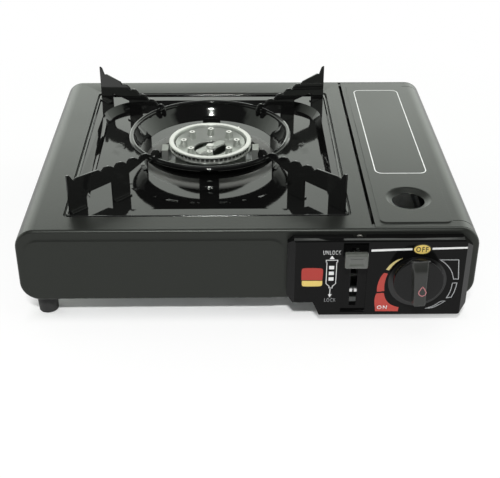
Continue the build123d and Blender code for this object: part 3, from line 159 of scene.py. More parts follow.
# the body that each solid moves with
BODY_OF = {
    node: body for body, nodes in frame["record"]["behaviour"]["bodies"].items() for node in nodes
}


def round_edges(piece, rounding, segments, least_angle):
    """Bevels the edges that turn by more than the least angle."""
    edge = piece.modifiers.new("edge", "BEVEL")
    edge.width, edge.segments = rounding, segments
    edge.limit_method, edge.angle_limit = "ANGLE", radians(least_angle)
    bpy.ops.object.modifier_apply(modifier="edge")


def smooth(piece, angle):
    """Smooth shading across gentle edges, with flat faces kept flat."""
    bpy.ops.object.shade_smooth_by_angle(angle=radians(angle))
    flat = piece.modifiers.new("flat", "WEIGHTED_NORMAL")
    flat.mode, flat.weight, flat.keep_sharp = "FACE_AREA", 60, True
    bpy.ops.object.modifier_apply(modifier="flat")


def dress(node, finish, angle=35, rounding=0.0):
    """A smooth copy of a solid, merged from its loose triangles, that stands for it."""
    bpy.ops.object.select_all(action="DESELECT")
    skin = frame["nodes"][node].copy()
    skin.data = skin.data.copy()
    skin.parent = None
    skin.name = node + "_skin"
    bpy.context.collection.objects.link(skin)
    skin.matrix_world = Matrix.Identity(4)
    bpy.context.view_layer.objects.active = skin
    skin.select_set(True)
    bpy.ops.object.mode_set(mode="EDIT")
    bpy.ops.mesh.select_all(action="SELECT")
    bpy.ops.mesh.remove_doubles(threshold=0.000002)
    bpy.ops.mesh.dissolve_limited(angle_limit=radians(0.3))
    bpy.ops.object.mode_set(mode="OBJECT")
    if rounding:
        round_edges(skin, rounding, segments=2, least_angle=40)
    smooth(skin, angle)
    finish.on(skin)
    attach(skin, BODY_OF[node])
    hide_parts(node)
    return skin


for panel in ("top_casing", "side_panel_right", "front_panel", "rear_panel", "cartridge_lid"):
    dress(panel, paint)

# ---------------------------------------------------------------- wind guard and pan supports
# Pressed steel fired with glossy black enamel: the ring that is welded in the pan's well,
# and the four serrated plates that stand on the pan's diagonals with their feet turned out.

ENAMEL_TINT = (0.95, 1.0, 0.935, 1)
enamel = Finish(
    "fired_black_enamel", (0.006, 0.006, 0.006), 0.07, IOR=1.37, Specular_Tint=ENAMEL_TINT
)
enamel.feed(Roughness=enamel.noise(60) * 0.05 + 0.04)
enamel.bump(enamel.noise(90), 0.00003)
dress("wind_guard_ring", enamel)
for corner in ("front_left", "front_right", "rear_left", "rear_right"):
    dress("pan_support_" + corner, enamel, rounding=0.0003)

# ---------------------------------------------------------------- drip pan
# One deep-drawn sheet, enamelled like the ring and rolled to a bead at its rim. Inside the wind guard the enamel
# is made matt and painted grey: a painted reflection of the bright surroundings that the gloss would mirror there.

PAN_LOW, PAN_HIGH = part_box("drip_pan")
PAN_CENTRE = (PAN_LOW + PAN_HIGH) / 2
PAINTED_GREY_WITHIN, GLOSSY_BEYOND = 0.052, 0.058
pan_enamel = Finish(
    "enamel_with_painted_reflection", (0.005, 0.005, 0.005), 0.07, IOR=1.29, Specular_Tint=ENAMEL_TINT
)
from_flame_x = pan_enamel.axis("X") - PAN_CENTRE.x
from_flame_y = pan_enamel.axis("Y") - PAN_CENTRE.y
from_flame = (from_flame_x**2.0 + from_flame_y**2.0) ** 0.5
# within this radius the enamel gets a grey base colour, a painted reflection, and a rougher surface
painted_reflection_zone = 1.0 - from_flame.between(PAINTED_GREY_WITHIN, GLOSSY_BEYOND)
pan_enamel.feed(
    Base_Color=pan_enamel.mix(painted_reflection_zone, (0.005, 0.005, 0.005), (0.13, 0.132, 0.124)),
    Roughness=pan_enamel.noise(60) * 0.05 + painted_reflection_zone * 0.48 + 0.04,
)
pan_enamel.bump(pan_enamel.noise(90), 0.00003)
dress("drip_pan", pan_enamel, angle=20)


def shape_by_hand(piece, finish, node, rounding=0.0, segments=3):
    """Object at the origin, edges rounded, faces out; finish and body as the node has them."""
    bpy.ops.object.transform_apply(location=True, rotation=True, scale=True)
    if rounding:
        round_edges(piece, rounding, segments, least_angle=25)
    bpy.ops.object.mode_set(mode="EDIT")
    bpy.ops.mesh.select_all(action="SELECT")
    bpy.ops.mesh.normals_make_consistent(inside=False)
    bpy.ops.object.mode_set(mode="OBJECT")
    smooth(piece, 40)
    finish.on(piece)
    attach(piece, BODY_OF[node])
    return piece


# the bead runs round the rim, a little inside the pan's outline
BEAD_RADIUS, BEAD_CORNER = 0.0011, 0.0046
BEAD_INSIDE, BEAD_ABOVE = 0.0004, 0.0003
bpy.ops.object.select_all(action="DESELECT")
bpy.ops.mesh.primitive_plane_add(
    size=1, location=(PAN_CENTRE.x, PAN_CENTRE.y, PAN_HIGH.z + BEAD_ABOVE)
)
bead = bpy.context.object
bead.name = "pan_rim_bead"
bead.scale = (
    PAN_HIGH.x - PAN_LOW.x - 2 * BEAD_INSIDE,
    PAN_HIGH.y - PAN_LOW.y - 2 * BEAD_INSIDE,
    1,
)
bpy.ops.object.transform_apply(location=True, rotation=False, scale=True)
bpy.ops.object.mode_set(mode="EDIT")
bpy.ops.mesh.bevel(offset=BEAD_CORNER, segments=8, affect="VERTICES")
bpy.ops.mesh.delete(type="ONLY_FACE")
bpy.ops.object.mode_set(mode="OBJECT")
bpy.ops.object.convert(target="CURVE")
bead.data.bevel_depth, bead.data.bevel_resolution = BEAD_RADIUS, 3
bpy.ops.object.convert(target="MESH")
shape_by_hand(bpy.context.object, enamel, "drip_pan")

# ---------------------------------------------------------------- burner
# Aluminium castings, faced on a lathe: the slotted flame ring, the cup under it, the drilled
# inner plate, its cap, and the mixing tube that feeds them from below. A bracket carries them.

as_cast = Finish("cast_aluminium", (0.6, 0.6, 0.57), 0.5, Metallic=0.75)
skin_grain, heat_stain = as_cast.noise(1100, 3), as_cast.noise(45, 3)
as_cast.feed(
    Base_Color=as_cast.mix(
        heat_stain * 0.7 + skin_grain * 0.3, (0.31, 0.325, 0.30), (0.45, 0.47, 0.435)
    ),
    Roughness=skin_grain * 0.12 + 0.42,
)
as_cast.bump(skin_grain, 0.00003)
turned = Finish("turned_aluminium", (0.75, 0.75, 0.73), 0.3, Metallic=0.9)
tool_marks = turned.noise(1500)
turned.feed(
    Base_Color=turned.mix(tool_marks, (0.36, 0.36, 0.345), (0.45, 0.45, 0.43)),
    Roughness=tool_marks * 0.1 + 0.26,
)
turned.bump(tool_marks, 0.00001)
# a dark rough finish for the slot faces: painted shade that stands for the dark hollow inside the flame ring
slot_shade = Finish("painted_shade_ports", (0.05, 0.05, 0.048), 0.7, Metallic=0.3)
slot_shade_grain = slot_shade.noise(300, 3)
slot_shade.feed(
    Base_Color=slot_shade.mix(slot_shade_grain, (0.03, 0.03, 0.028), (0.09, 0.09, 0.085)),
    Roughness=slot_shade_grain * 0.2 + 0.6,
)
slot_shade.bump(slot_shade_grain, 0.00003)

# the lathe faces what looks up within this depth of the top
FACING_DEPTH = 0.0004
castings = {
    node: dress(node, as_cast)
    for node in ("burner_ring", "burner_cup", "burner_plate", "burner_cap", "mixing_tube")
}
for node, casting in castings.items():
    casting.data.materials.append(turned.material)
    faced_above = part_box(node)[1].z - FACING_DEPTH
    for face in casting.data.polygons:
        face.material_index = int(face.normal.z > 0.95 and face.center.z > faced_above)

# the slots' flanks and floors are painted dark, a painted shade for the dark hollow behind the slots; the lands
# between them reach the lands' radius
SLOTS_INNER, LANDS_RADIUS, SLOTS_OUTER = 0.0315, 0.03295, 0.0335
flame_ring = castings["burner_ring"]
flame_ring.data.materials.append(slot_shade.material)
for face in flame_ring.data.polygons:
    outward = Vector((face.center.x - PAN_CENTRE.x, face.center.y - PAN_CENTRE.y, 0))
    upright = abs(face.normal.z) < 0.5
    flank = abs(face.normal.dot(outward.normalized())) < 0.75
    in_slot = flank or outward.length < LANDS_RADIUS
    if upright and in_slot and SLOTS_INNER < outward.length < SLOTS_OUTER:
        face.material_index = 2
dress("burner_bracket", as_cast)

# ---------------------------------------------------------------- inner sheet parts
# Galvanised steel with its grey spangle: floor tray, heat shield wall, reflector and
# the small brackets, spot-welded or screwed to the tray.

galvanised = Finish("galvanised_steel", (0.5, 0.51, 0.51), 0.4, Metallic=1.0)
spangle = galvanised.add(
    "ShaderNodeTexVoronoi", None, {"Vector": galvanised.place, "Scale": 160.0}, "Color"
)
spangle_tone = galvanised.add("ShaderNodeRGBToBW", None, {0: spangle})
galvanised.feed(
    Base_Color=galvanised.mix(spangle_tone, (0.42, 0.43, 0.43), (0.6, 0.61, 0.61)),
    Roughness=spangle_tone * 0.2 + 0.3,
)
for sheet in ("base_tray", "partition_wall", "heat_reflector", "carriage_guides"):
    dress(sheet, galvanised)
for bracket in ("electrode_bracket", "governor_bracket"):
    dress(bracket, galvanised)

# ---------------------------------------------------------------- lock lever
# Steel plate, stamped and bent, and plated with black zinc: the lever, which tilts on a pin,
# and the bracket that holds the pin.

black_zinc = Finish("black_zinc", (0.10, 0.10, 0.095), 0.35, Metallic=1.0)
black_zinc.feed(Roughness=black_zinc.noise(500, 3) * 0.3 + 0.2)
for stamping in ("lock_lever", "lever_bracket"):
    dress(stamping, black_zinc)

# ---------------------------------------------------------------- plated small parts
# Zinc-plated steel with a faint yellow cast: screws, pins, the igniter's cam,
# the governor's diaphragm cover and the carriage that moves the cartridge.

plating = Finish("zinc_plating", (0.62, 0.61, 0.57), 0.28, Metallic=1.0)
plating.feed(Roughness=plating.noise(400, 3) * 0.3 + 0.15)
for fastener in ("panel_screws", "foot_screws", "hinge_pin", "lever_pin"):
    dress(fastener, plating)
for plated in ("igniter_cam", "governor_cap", "cartridge_carriage"):
    dress(plated, plating)

# ---------------------------------------------------------------- brass gas parts
# Brass, forged and turned: governor, cartridge seat, feed pipe, jet and valve spindle.
# They are screwed or soldered gas-tight into each other.

brass = Finish("gas_brass", (0.6, 0.42, 0.16), 0.3, Metallic=1.0)
brass.feed(Roughness=brass.noise(350, 3) * 0.3 + 0.18)
for fitting in ("governor_body", "cartridge_seat", "gas_pipe", "gas_jet", "valve_spindle"):
    dress(fitting, brass)

# ---------------------------------------------------------------- feet and seat seal
# Moulded black rubber: four feet, each held by a screw through its middle, and the
# ring in the cartridge seat that the cartridge's nose is pressed against.

rubber = Finish("foot_rubber", (0.02, 0.02, 0.02), 0.75)
rubber.bump(rubber.noise(900), 0.00005)
for moulded in ("rubber_feet", "seat_seal"):
    dress(moulded, rubber)

# ---------------------------------------------------------------- igniter
# The spark's source is a piezo element in a moulded black case. It fires through an
# electrode in a glazed ceramic sleeve, clamped beside the burner.

ceramic = Finish("glazed_ceramic", (0.8, 0.78, 0.72), 0.25)
ceramic.bump(ceramic.noise(300), 0.00002)
dress("electrode", ceramic)
igniter_case = Finish("igniter_case", (0.05, 0.05, 0.05), 0.4)
igniter_case.bump(igniter_case.noise(500), 0.00003)
dress("piezo_igniter", igniter_case)

# ---------------------------------------------------------------- control bezel
# A plate injection moulded in high-gloss black plastic, set in the front panel. It has a
# slit that the lever moves in and a flat face for the dial.

gloss_moulding = Finish("gloss_black_moulding", (0.004, 0.004, 0.004), 0.08, IOR=1.22)
gloss_moulding.bump(gloss_moulding.noise(120), 0.00003)
dress("control_bezel", gloss_moulding)

# ---------------------------------------------------------------- control knob
# Moulded in satin black plastic: a dial disc on a tapered hub, with a grip bar across it that is coloured a
# lighter black than the disc, a painted sheen for the light it catches. It is pushed on the valve's spindle, over
# a collar.

JOINT_AT = {joint["name"]: joint.get("pos_m") for joint in frame["joints"]}
KNOB_AXIS = Vector(JOINT_AT["knob_turn"])
knob_moulding = Finish("satin_black_moulding", (0.005, 0.005, 0.005), 0.2, IOR=1.31)
knob_moulding.bump(knob_moulding.noise(700), 0.00002)


def pick_faces(piece, wanted):
    """Selects, in edit mode, the faces whose normal is wanted."""
    cage = bmesh.from_edit_mesh(piece.data)
    for face in cage.faces:
        face.select_set(bool(wanted(face.normal)))
    bmesh.update_edit_mesh(piece.data)


# turned so, what faced up faces the front
FACING_FRONT = (radians(90), 0, 0)

# the dial disc with a low crown; behind it the hub tapers towards the bezel
DISC_RADIUS, DISC_AND_HUB, HUB_FRONT, HUB_TAPER = 0.0185, 0.0115, -0.1470, 0.72
DISC_RIM, CROWN_INSIDE, CROWN_RAISED = 0.0012, 0.006, 0.0004
bpy.ops.object.select_all(action="DESELECT")
bpy.ops.mesh.primitive_cylinder_add(
    vertices=96, radius=DISC_RADIUS, depth=DISC_AND_HUB, location=KNOB_AXIS, rotation=FACING_FRONT
)
disc = bpy.context.object
disc.name = "knob_disc"
bpy.ops.object.transform_apply(location=True, rotation=True, scale=True)
bpy.ops.object.mode_set(mode="EDIT")
bpy.ops.mesh.select_mode(type="FACE")
bpy.ops.mesh.select_all(action="SELECT")
bpy.ops.mesh.bisect(plane_co=(0, HUB_FRONT, 0), plane_no=(0, 1, 0))
pick_faces(disc, lambda normal: normal.y > 0.9)
bpy.ops.transform.resize(value=(HUB_TAPER, 1, HUB_TAPER), center_override=KNOB_AXIS)
pick_faces(disc, lambda normal: normal.y < -0.9)
bpy.ops.mesh.inset(thickness=DISC_RIM)
bpy.ops.mesh.inset(thickness=CROWN_INSIDE)
bpy.ops.transform.translate(value=(0, -CROWN_RAISED, 0))
bpy.ops.object.mode_set(mode="OBJECT")
shape_by_hand(disc, knob_moulding, "control_knob", rounding=0.0008)
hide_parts("control_knob")

# the grip bar: a wedge, narrower below and in front, whose upper end slopes back
GRIP_WIDE, GRIP_DEEP, GRIP_TALL, GRIP_Y = 0.0150, 0.0056, 0.0366, -0.1522
GRIP_LOW_TAPER, GRIP_FRONT_TAPER = 0.78, 0.66
SLOPE_FROM, SLOPE_DEEP, SLOPE_CURVE = 0.0550, 0.0042, 1.6
SLOPE_CUTS = (0.0530, 0.0565, 0.0600)
GRIP_LEAN, GRIP_ASIDE = radians(2.5), 0.0006
grip_top = KNOB_AXIS.z + GRIP_TALL / 2
bpy.ops.object.select_all(action="DESELECT")
bpy.ops.mesh.primitive_cube_add(
    size=1,
    location=(KNOB_AXIS.x, GRIP_Y, KNOB_AXIS.z),
    scale=(GRIP_WIDE, GRIP_DEEP, GRIP_TALL),
)
grip = bpy.context.object
grip.name = "knob_grip"
bpy.ops.object.transform_apply(location=True, rotation=True, scale=True)
bpy.ops.object.mode_set(mode="EDIT")
bpy.ops.mesh.select_mode(type="FACE")
pick_faces(grip, lambda normal: normal.z < -0.9)
bpy.ops.transform.resize(value=(GRIP_LOW_TAPER, 1, 1), center_override=KNOB_AXIS)
for height in SLOPE_CUTS:
    bpy.ops.mesh.select_all(action="SELECT")
    bpy.ops.mesh.bisect(plane_co=(0, 0, height), plane_no=(0, 0, 1))
pick_faces(grip, lambda normal: normal.y < -0.9)
bpy.ops.transform.resize(value=(GRIP_FRONT_TAPER, 1, 1), center_override=KNOB_AXIS)
cage = bmesh.from_edit_mesh(grip.data)
for corner in cage.verts:
    if corner.co.y < GRIP_Y and corner.co.z > SLOPE_FROM:
        rise = (corner.co.z - SLOPE_FROM) / (grip_top - SLOPE_FROM)
        corner.co.y += SLOPE_DEEP * rise**SLOPE_CURVE
bmesh.update_edit_mesh(grip.data)
bpy.ops.mesh.select_all(action="SELECT")
bpy.ops.transform.rotate(value=GRIP_LEAN, orient_axis="Y", center_override=KNOB_AXIS)
bpy.ops.transform.translate(value=(GRIP_ASIDE, 0, 0))
bpy.ops.object.mode_set(mode="OBJECT")
# the grip's base colour is about four times lighter than the disc's: a painted sheen
grip_sheen = Finish("black_moulding_painted_sheen", (0.020, 0.021, 0.019), 0.26, IOR=1.5)
grip_sheen.bump(grip_sheen.noise(700), 0.00002)
shape_by_hand(grip, grip_sheen, "control_knob", rounding=0.0012)

# the collar between hub and bezel, dished in front
COLLAR_RADIUS, COLLAR_THICK, COLLAR_Y = 0.0142, 0.0016, -0.1397
COLLAR_RIM, COLLAR_DISH = 0.0012, 0.0005
bpy.ops.object.select_all(action="DESELECT")
bpy.ops.mesh.primitive_cylinder_add(
    vertices=64,
    radius=COLLAR_RADIUS,
    depth=COLLAR_THICK,
    location=(KNOB_AXIS.x, COLLAR_Y, KNOB_AXIS.z),
    rotation=FACING_FRONT,
)
collar = bpy.context.object
collar.name = "knob_collar"
bpy.ops.object.transform_apply(location=True, rotation=True, scale=True)
bpy.ops.object.mode_set(mode="EDIT")
bpy.ops.mesh.select_mode(type="FACE")
pick_faces(collar, lambda normal: normal.y < -0.9)
bpy.ops.mesh.inset(thickness=COLLAR_RIM)
bpy.ops.transform.translate(value=(0, COLLAR_DISH, 0))
bpy.ops.object.mode_set(mode="OBJECT")
shape_by_hand(collar, knob_moulding, "knob_dial_ring", rounding=0.0003)
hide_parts("knob_dial_ring")

# ---------------------------------------------------------------- lever's finger tab
# A block moulded in smoky grey plastic and pressed on the lever's end, round at its corners,
# with a scoop for the fingertip that is deepest a little above its middle.

TAB_ROUNDING, SCOOP_STEPS = 0.0016, (0.0012, 0.0010, 0.0012)
SCOOP_SIDE_DEEP, SCOOP_FLOOR_DEEP, SCOOP_RAISED = 0.0009, 0.0004, 0.0004
smoky = Finish("smoky_grey_moulding", (0.105, 0.11, 0.10), 0.15, Coat_Weight=0.5)
smoky.feed(Base_Color=smoky.mix(smoky.noise(60), (0.066, 0.07, 0.062), (0.105, 0.11, 0.10)))
smoky.bump(smoky.noise(150), 0.00003)
tab_low, tab_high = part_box("lever_tab")
bpy.ops.object.select_all(action="DESELECT")
bpy.ops.mesh.primitive_cube_add(size=1, location=(tab_low + tab_high) / 2, scale=tab_high - tab_low)
tab = bpy.context.object
tab.name = "finger_tab"
bpy.ops.object.transform_apply(location=True, rotation=True, scale=True)
round_edges(tab, TAB_ROUNDING, segments=4, least_angle=40)
bpy.ops.object.mode_set(mode="EDIT")
bpy.ops.mesh.select_mode(type="FACE")
pick_faces(tab, lambda normal: normal.y < -0.99)
bpy.ops.mesh.inset(thickness=SCOOP_STEPS[0])
bpy.ops.mesh.inset(thickness=SCOOP_STEPS[1])
bpy.ops.transform.translate(value=(0, SCOOP_SIDE_DEEP, 0))
bpy.ops.mesh.inset(thickness=SCOOP_STEPS[2])
bpy.ops.transform.translate(value=(0, SCOOP_FLOOR_DEEP, SCOOP_RAISED))
bpy.ops.object.mode_set(mode="OBJECT")
shape_by_hand(tab, smoky, "lever_tab", rounding=0.0004, segments=2)
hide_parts("lever_tab")

# ---------------------------------------------------------------- lever slit's nubs
# Two white plastic nubs on the walls of the bezel's slit, moulded apart and pressed in.
# The lever passes through the gap between them.

NUB_SIZE, NUBS_APART = (0.0021, 0.0016, 0.0021), 0.0034
SLIT_X, NUB_Y, NUB_Z = JOINT_AT["lever_tilt"][0], -0.1358, 0.0305
white_moulding = Finish("white_moulding", (0.80, 0.80, 0.79), 0.4)
white_moulding.bump(white_moulding.noise(600), 0.00002)


def copy_shifted(piece, name, shift, node):
    """A copy of a finished piece with its own mesh, which is moved by the shift."""
    twin = piece.copy()
    twin.data = piece.data.copy()
    twin.name = name
    twin.data.transform(Matrix.Translation(shift))
    bpy.context.collection.objects.link(twin)
    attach(twin, BODY_OF[node])


bpy.ops.object.select_all(action="DESELECT")
bpy.ops.mesh.primitive_cube_add(
    size=1, location=(SLIT_X - NUBS_APART / 2, NUB_Y, NUB_Z), scale=NUB_SIZE
)
nub = bpy.context.object
nub.name = "lever_nub_left"
shape_by_hand(nub, white_moulding, "control_bezel", rounding=0.0001, segments=2)
copy_shifted(nub, "lever_nub_right", (NUBS_APART, 0, 0), "control_bezel")

# ---------------------------------------------------------------- print on bezel and knob
# Pad-printed and foil-stamped ink a few hundredths of a millimetre thick: the dial's fields and words, the lever's
# words and signs, a two-colour patch, and the flame on the grip. The black disc behind the knob is laid on like
# print, but it is a painted shadow of the knob.
# The bezel's marks are drawn in mm, (x, z), as they lie on its face.

INK = 0.00006
BEZEL_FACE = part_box("control_bezel")[0].y
GRIP_FACE = GRIP_Y - GRIP_DEEP / 2
MM = 0.001


def ink(name, color):
    finish = Finish(name, color, 0.35)
    finish.feed(Roughness=finish.noise(800) * 0.2 + 0.25)
    finish.bump(finish.noise(900), 0.00001)
    return finish


def printed(shape, finish, node, face=None):
    """A flat mesh gets its ink's thickness; with a face given, it is stood up on that front face."""
    bpy.ops.object.select_all(action="DESELECT")
    bpy.context.view_layer.objects.active = shape
    shape.select_set(True)
    layer = shape.modifiers.new("layer", "SOLIDIFY")
    layer.thickness, layer.offset = INK, 0
    bpy.ops.object.modifier_apply(modifier="layer")
    if face is not None:
        shape.rotation_euler = FACING_FRONT
        shape.location.y = face
    bpy.ops.object.transform_apply(location=True, rotation=True, scale=True)
    bpy.ops.object.mode_set(mode="EDIT")
    bpy.ops.mesh.select_all(action="SELECT")
    bpy.ops.mesh.remove_doubles(threshold=0.000001)
    bpy.ops.mesh.normals_make_consistent(inside=False)
    bpy.ops.object.mode_set(mode="OBJECT")
    finish.on(shape)
    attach(shape, BODY_OF[node])
    return shape


def as_mesh(name, drawing):
    """The drawing, a curve or a text, as an active mesh object."""
    bpy.ops.object.select_all(action="DESELECT")
    shape = bpy.data.objects.new(name, drawing)
    bpy.context.collection.objects.link(shape)
    bpy.context.view_layer.objects.active = shape
    shape.select_set(True)
    bpy.ops.object.convert(target="MESH")
    return bpy.context.object


def field(name, finish, points, line=0.0, node="control_bezel", face=BEZEL_FACE):
    """A printed field, round where its outline turns gently; with a line, only that wide a border."""
    outline = bpy.data.curves.new(name, "CURVE")
    outline.dimensions, outline.fill_mode, outline.resolution_u = "2D", "BOTH", 6
    spline = outline.splines.new("BEZIER")
    spline.bezier_points.add(len(points) - 1)
    spline.use_cyclic_u = True
    spots = [Vector(point) * MM for point in points]
    for n, knot in enumerate(spline.bezier_points):
        before, here, after = spots[n - 1], spots[n], spots[(n + 1) % len(spots)]
        knot.co = (*here, 0)
        gentle = (here - before).angle(after - here) < radians(42)
        knot.handle_left_type = knot.handle_right_type = "AUTO" if gentle else "VECTOR"
    shape = as_mesh(name, outline)
    if line:
        bpy.ops.object.mode_set(mode="EDIT")
        bpy.ops.mesh.select_all(action="SELECT")
        bpy.ops.mesh.inset(thickness=line * MM)
        bpy.ops.mesh.delete(type="FACE")
        bpy.ops.object.mode_set(mode="OBJECT")
    return printed(shape, finish, node, face)


def word(name, finish, text, left, right, low, high, weight):
    """A printed word that fills the box; a weight above 0 thickens its strokes."""
    letters = bpy.data.curves.new(name, "FONT")
    letters.body, letters.offset, letters.resolution_u = text, weight, 3
    letters.space_character = 1.25
    shape = as_mesh(name, letters)
    spots = [vertex.co for vertex in shape.data.vertices]
    first = [min(spot[axis] for spot in spots) for axis in (0, 1)]
    last = [max(spot[axis] for spot in spots) for axis in (0, 1)]
    wide = (right - left) * MM / (last[0] - first[0])
    tall = (high - low) * MM / (last[1] - first[1])
    shape.scale = (wide, tall, 1)
    shape.location = (left * MM - first[0] * wide, low * MM - first[1] * tall, 0)
    bpy.ops.object.transform_apply(location=True, rotation=False, scale=True)
    printed(shape, finish, "control_bezel", BEZEL_FACE - INK)


def ellipse(x, z, wide, tall, count=20):
    turns = [2 * pi * n / count for n in range(count)]
    return [(x + wide / 2 * cos(turn), z + tall / 2 * sin(turn)) for turn in turns]


painted_shadow_ink = ink("painted_shadow_ink", (0.004, 0.004, 0.004))
white_ink = ink("white_ink", (0.82, 0.82, 0.82))
grey_ink = ink("grey_ink", (0.42, 0.43, 0.44))
gold_ink = ink("gold_ink", (0.80, 0.60, 0.17))
pale_gold_ink = ink("pale_gold_ink", (0.74, 0.62, 0.27))
olive_ink = ink("olive_ink", (0.018, 0.013, 0.003))
red_ink = ink("red_ink", (0.50, 0.055, 0.04))
deep_red_ink = ink("deep_red_ink", (0.42, 0.035, 0.025))
rose_ink = ink("rose_ink", (0.42, 0.16, 0.17))

# a black disc laid on behind the knob and set below its axis: a painted shadow of the knob
field("painted_knob_shadow", painted_shadow_ink, ellipse(125.7, 39.9, 43.4, 43.4, 32))
# the OFF plate between two white bars
field("off_border", olive_ink, ellipse(126.9, 67.9, 13.6, 9.2))
field("off_plate", gold_ink, ellipse(126.9, 67.8, 12.0, 7.6), face=BEZEL_FACE - INK / 2)
word("off_word", olive_ink, "OFF", 122.4, 131.4, 65.6, 70.0, weight=0.02)
field("off_bar_left", white_ink, [(89.8, 66.1), (119.7, 67.2), (119.7, 68.9), (89.8, 68.0)])
field("off_bar_right", white_ink, [(134.3, 67.5), (160.0, 68.3), (160.0, 69.8), (134.3, 69.2)])
# the flame gets stronger from gold to red, down to ON
field("gold_taper", pale_gold_ink, [
    (113.3, 60.3), (108.2, 58.2), (104.3, 54.5), (101.7, 50.5),
    (103.9, 49.7), (106.8, 54.2), (109.9, 57.7),
])
field("red_arc", red_ink, [
    (100.6, 47.6), (99.2, 45.7), (97.4, 41.3), (96.2, 35.6), (96.3, 30.7),
    (101.8, 31.4), (101.5, 35.5), (101.9, 41.3), (103.3, 47.0),
])
field("on_plate", red_ink, [
    (96.1, 29.4), (95.2, 26.6), (96.1, 13.1), (113.3, 12.9), (113.7, 16.6),
    (110.4, 17.6), (105.8, 20.6), (102.8, 25.2), (101.6, 29.7),
])
word("on_word", white_ink, "ON", 97.3, 104.8, 14.9, 18.3, weight=0.015)
# three open fields at the right of the knob
field("open_field_top", grey_ink, [
    (140.2, 59.0), (146.5, 53.6), (150.3, 47.9), (152.3, 41.5), (156.5, 41.5), (154.9, 58.9),
], line=0.6)
field("open_field_middle", grey_ink, [
    (151.9, 38.4), (150.7, 30.0), (148.6, 24.6), (152.8, 25.1), (154.8, 31.3), (155.8, 38.7),
], line=0.6)
field("open_field_low", grey_ink, [
    (133.3, 15.1), (140.6, 18.4), (145.1, 21.9), (149.0, 22.2), (143.8, 18.3), (138.7, 15.7),
], line=0.5)
# the lever's words, arrows and cartridge sign
word("unlock_word", white_ink, "UNLOCK", 54.8, 67.8, 63.7, 67.3, weight=-0.008)
word("lock_word", grey_ink, "LOCK", 57.2, 65.8, 22.0, 25.3, weight=-0.008)
field("arrow_up", white_ink, [(61.4, 62.8), (63.4, 59.9), (59.5, 59.9)])
field("arrow_down", white_ink, [(61.1, 26.0), (59.6, 28.8), (62.6, 28.8)])
field("arrow_stem", white_ink, [(60.8, 28.7), (60.8, 33.6), (61.4, 33.6), (61.4, 28.7)])
field("cartridge_sign", white_ink, [
    (57.6, 38.3), (57.6, 57.1), (57.0, 57.1), (57.0, 59.2), (65.9, 59.2), (65.9, 57.1),
    (65.3, 57.1), (65.3, 38.3), (62.9, 36.0), (62.9, 34.2), (60.0, 34.2), (60.0, 36.0),
], line=0.5)
# the sign's three bars
BAR_LOW, BAR_TALL, BAR_STEP = 41, 3, 5
bar = field(f"cartridge_bar_{BAR_LOW}", white_ink, [
    (59.6, BAR_LOW), (59.6, BAR_LOW + BAR_TALL), (63.3, BAR_LOW + BAR_TALL), (63.3, BAR_LOW),
])
for step in (BAR_STEP, 2 * BAR_STEP):
    copy_shifted(bar, f"cartridge_bar_{BAR_LOW + step}", (0, 0, step * MM), "control_bezel")
# a plain two-colour patch
field("patch_red", deep_red_ink, [
    (39.5, 41.6), (39.6, 50.8), (40.0, 51.6), (40.9, 52.0),
    (53.9, 51.8), (54.7, 51.4), (55.1, 50.6), (55.0, 41.5),
])
field("patch_gold", gold_ink, [
    (40.0, 41.0), (55.0, 40.9), (54.9, 37.4), (54.5, 36.6),
    (53.7, 36.2), (41.2, 36.1), (40.4, 36.4), (40.0, 37.2),
])
# the flame on the knob's grip
field("grip_flame", rose_ink, [
    (126.6, 46.3), (124.6, 43.0), (123.7, 40.4), (124.6, 38.1),
    (126.9, 37.0), (129.2, 38.1), (130.0, 40.4), (128.9, 43.0),
], line=0.8, node="control_knob", face=GRIP_FACE)

# ---------------------------------------------------------------- print on the lid
# A white frame line with round corners, screen-printed on the painted lid. It runs round
# the raised field.

FRAME_X, FRAME_Y, FRAME_WIDE, FRAME_LONG = 0.125, 0.0445, 0.042, 0.173
FRAME_CORNER, FRAME_LINE = 0.006, 0.0008
LID_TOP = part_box("cartridge_lid")[1].z
bpy.ops.object.select_all(action="DESELECT")
bpy.ops.mesh.primitive_plane_add(size=1, location=(FRAME_X, FRAME_Y, LID_TOP))
frame_line = bpy.context.object
frame_line.name = "lid_frame"
frame_line.scale = (FRAME_WIDE, FRAME_LONG, 1)
bpy.ops.object.transform_apply(location=True, rotation=False, scale=True)
bpy.ops.object.mode_set(mode="EDIT")
bpy.ops.mesh.bevel(offset=FRAME_CORNER, segments=6, affect="VERTICES")
bpy.ops.mesh.inset(thickness=FRAME_LINE)
bpy.ops.mesh.delete(type="FACE")
bpy.ops.object.mode_set(mode="OBJECT")
printed(frame_line, white_ink, "cartridge_lid")

# ---------------------------------------------------------------- table
# A pale matt table. Seen straight, in a mirroring face or through one, it is nearly white with
# the stove's soft shadow, and dark in the gap under the casing. For other light it is plain grey.

UNDER_CASING_X, UNDER_CASING_Y = (0.158, 0.172), (0.118, 0.134)
TABLE_SIZE, SHADOW_WITHIN, WHITE_BEYOND = 8, 0.2, 0.5
bpy.ops.object.select_all(action="DESELECT")
bpy.ops.mesh.primitive_plane_add(size=TABLE_SIZE, location=(0, 0, 0))
table = bpy.context.object
table.name = "table_floor"
matt = Finish("pale_table", (0.45, 0.45, 0.45), 0.8)
table_x, table_y = matt.axis("X"), matt.axis("Y")
glare = (table_x**2.0 + table_y**2.0).between(SHADOW_WITHIN**2, WHITE_BEYOND**2)
beyond_x = abs(table_x).between(*UNDER_CASING_X)
beyond_y = abs(table_y).between(*UNDER_CASING_Y)
open_table = beyond_x.math("MAXIMUM", beyond_x, beyond_y)
white = matt.add("ShaderNodeEmission", None, {"Color": (1, 1, 1, 1), "Strength": 1.0})
paper = matt.add("ShaderNodeBsdfDiffuse", None, {"Color": (0.95, 0.95, 0.95, 1)})
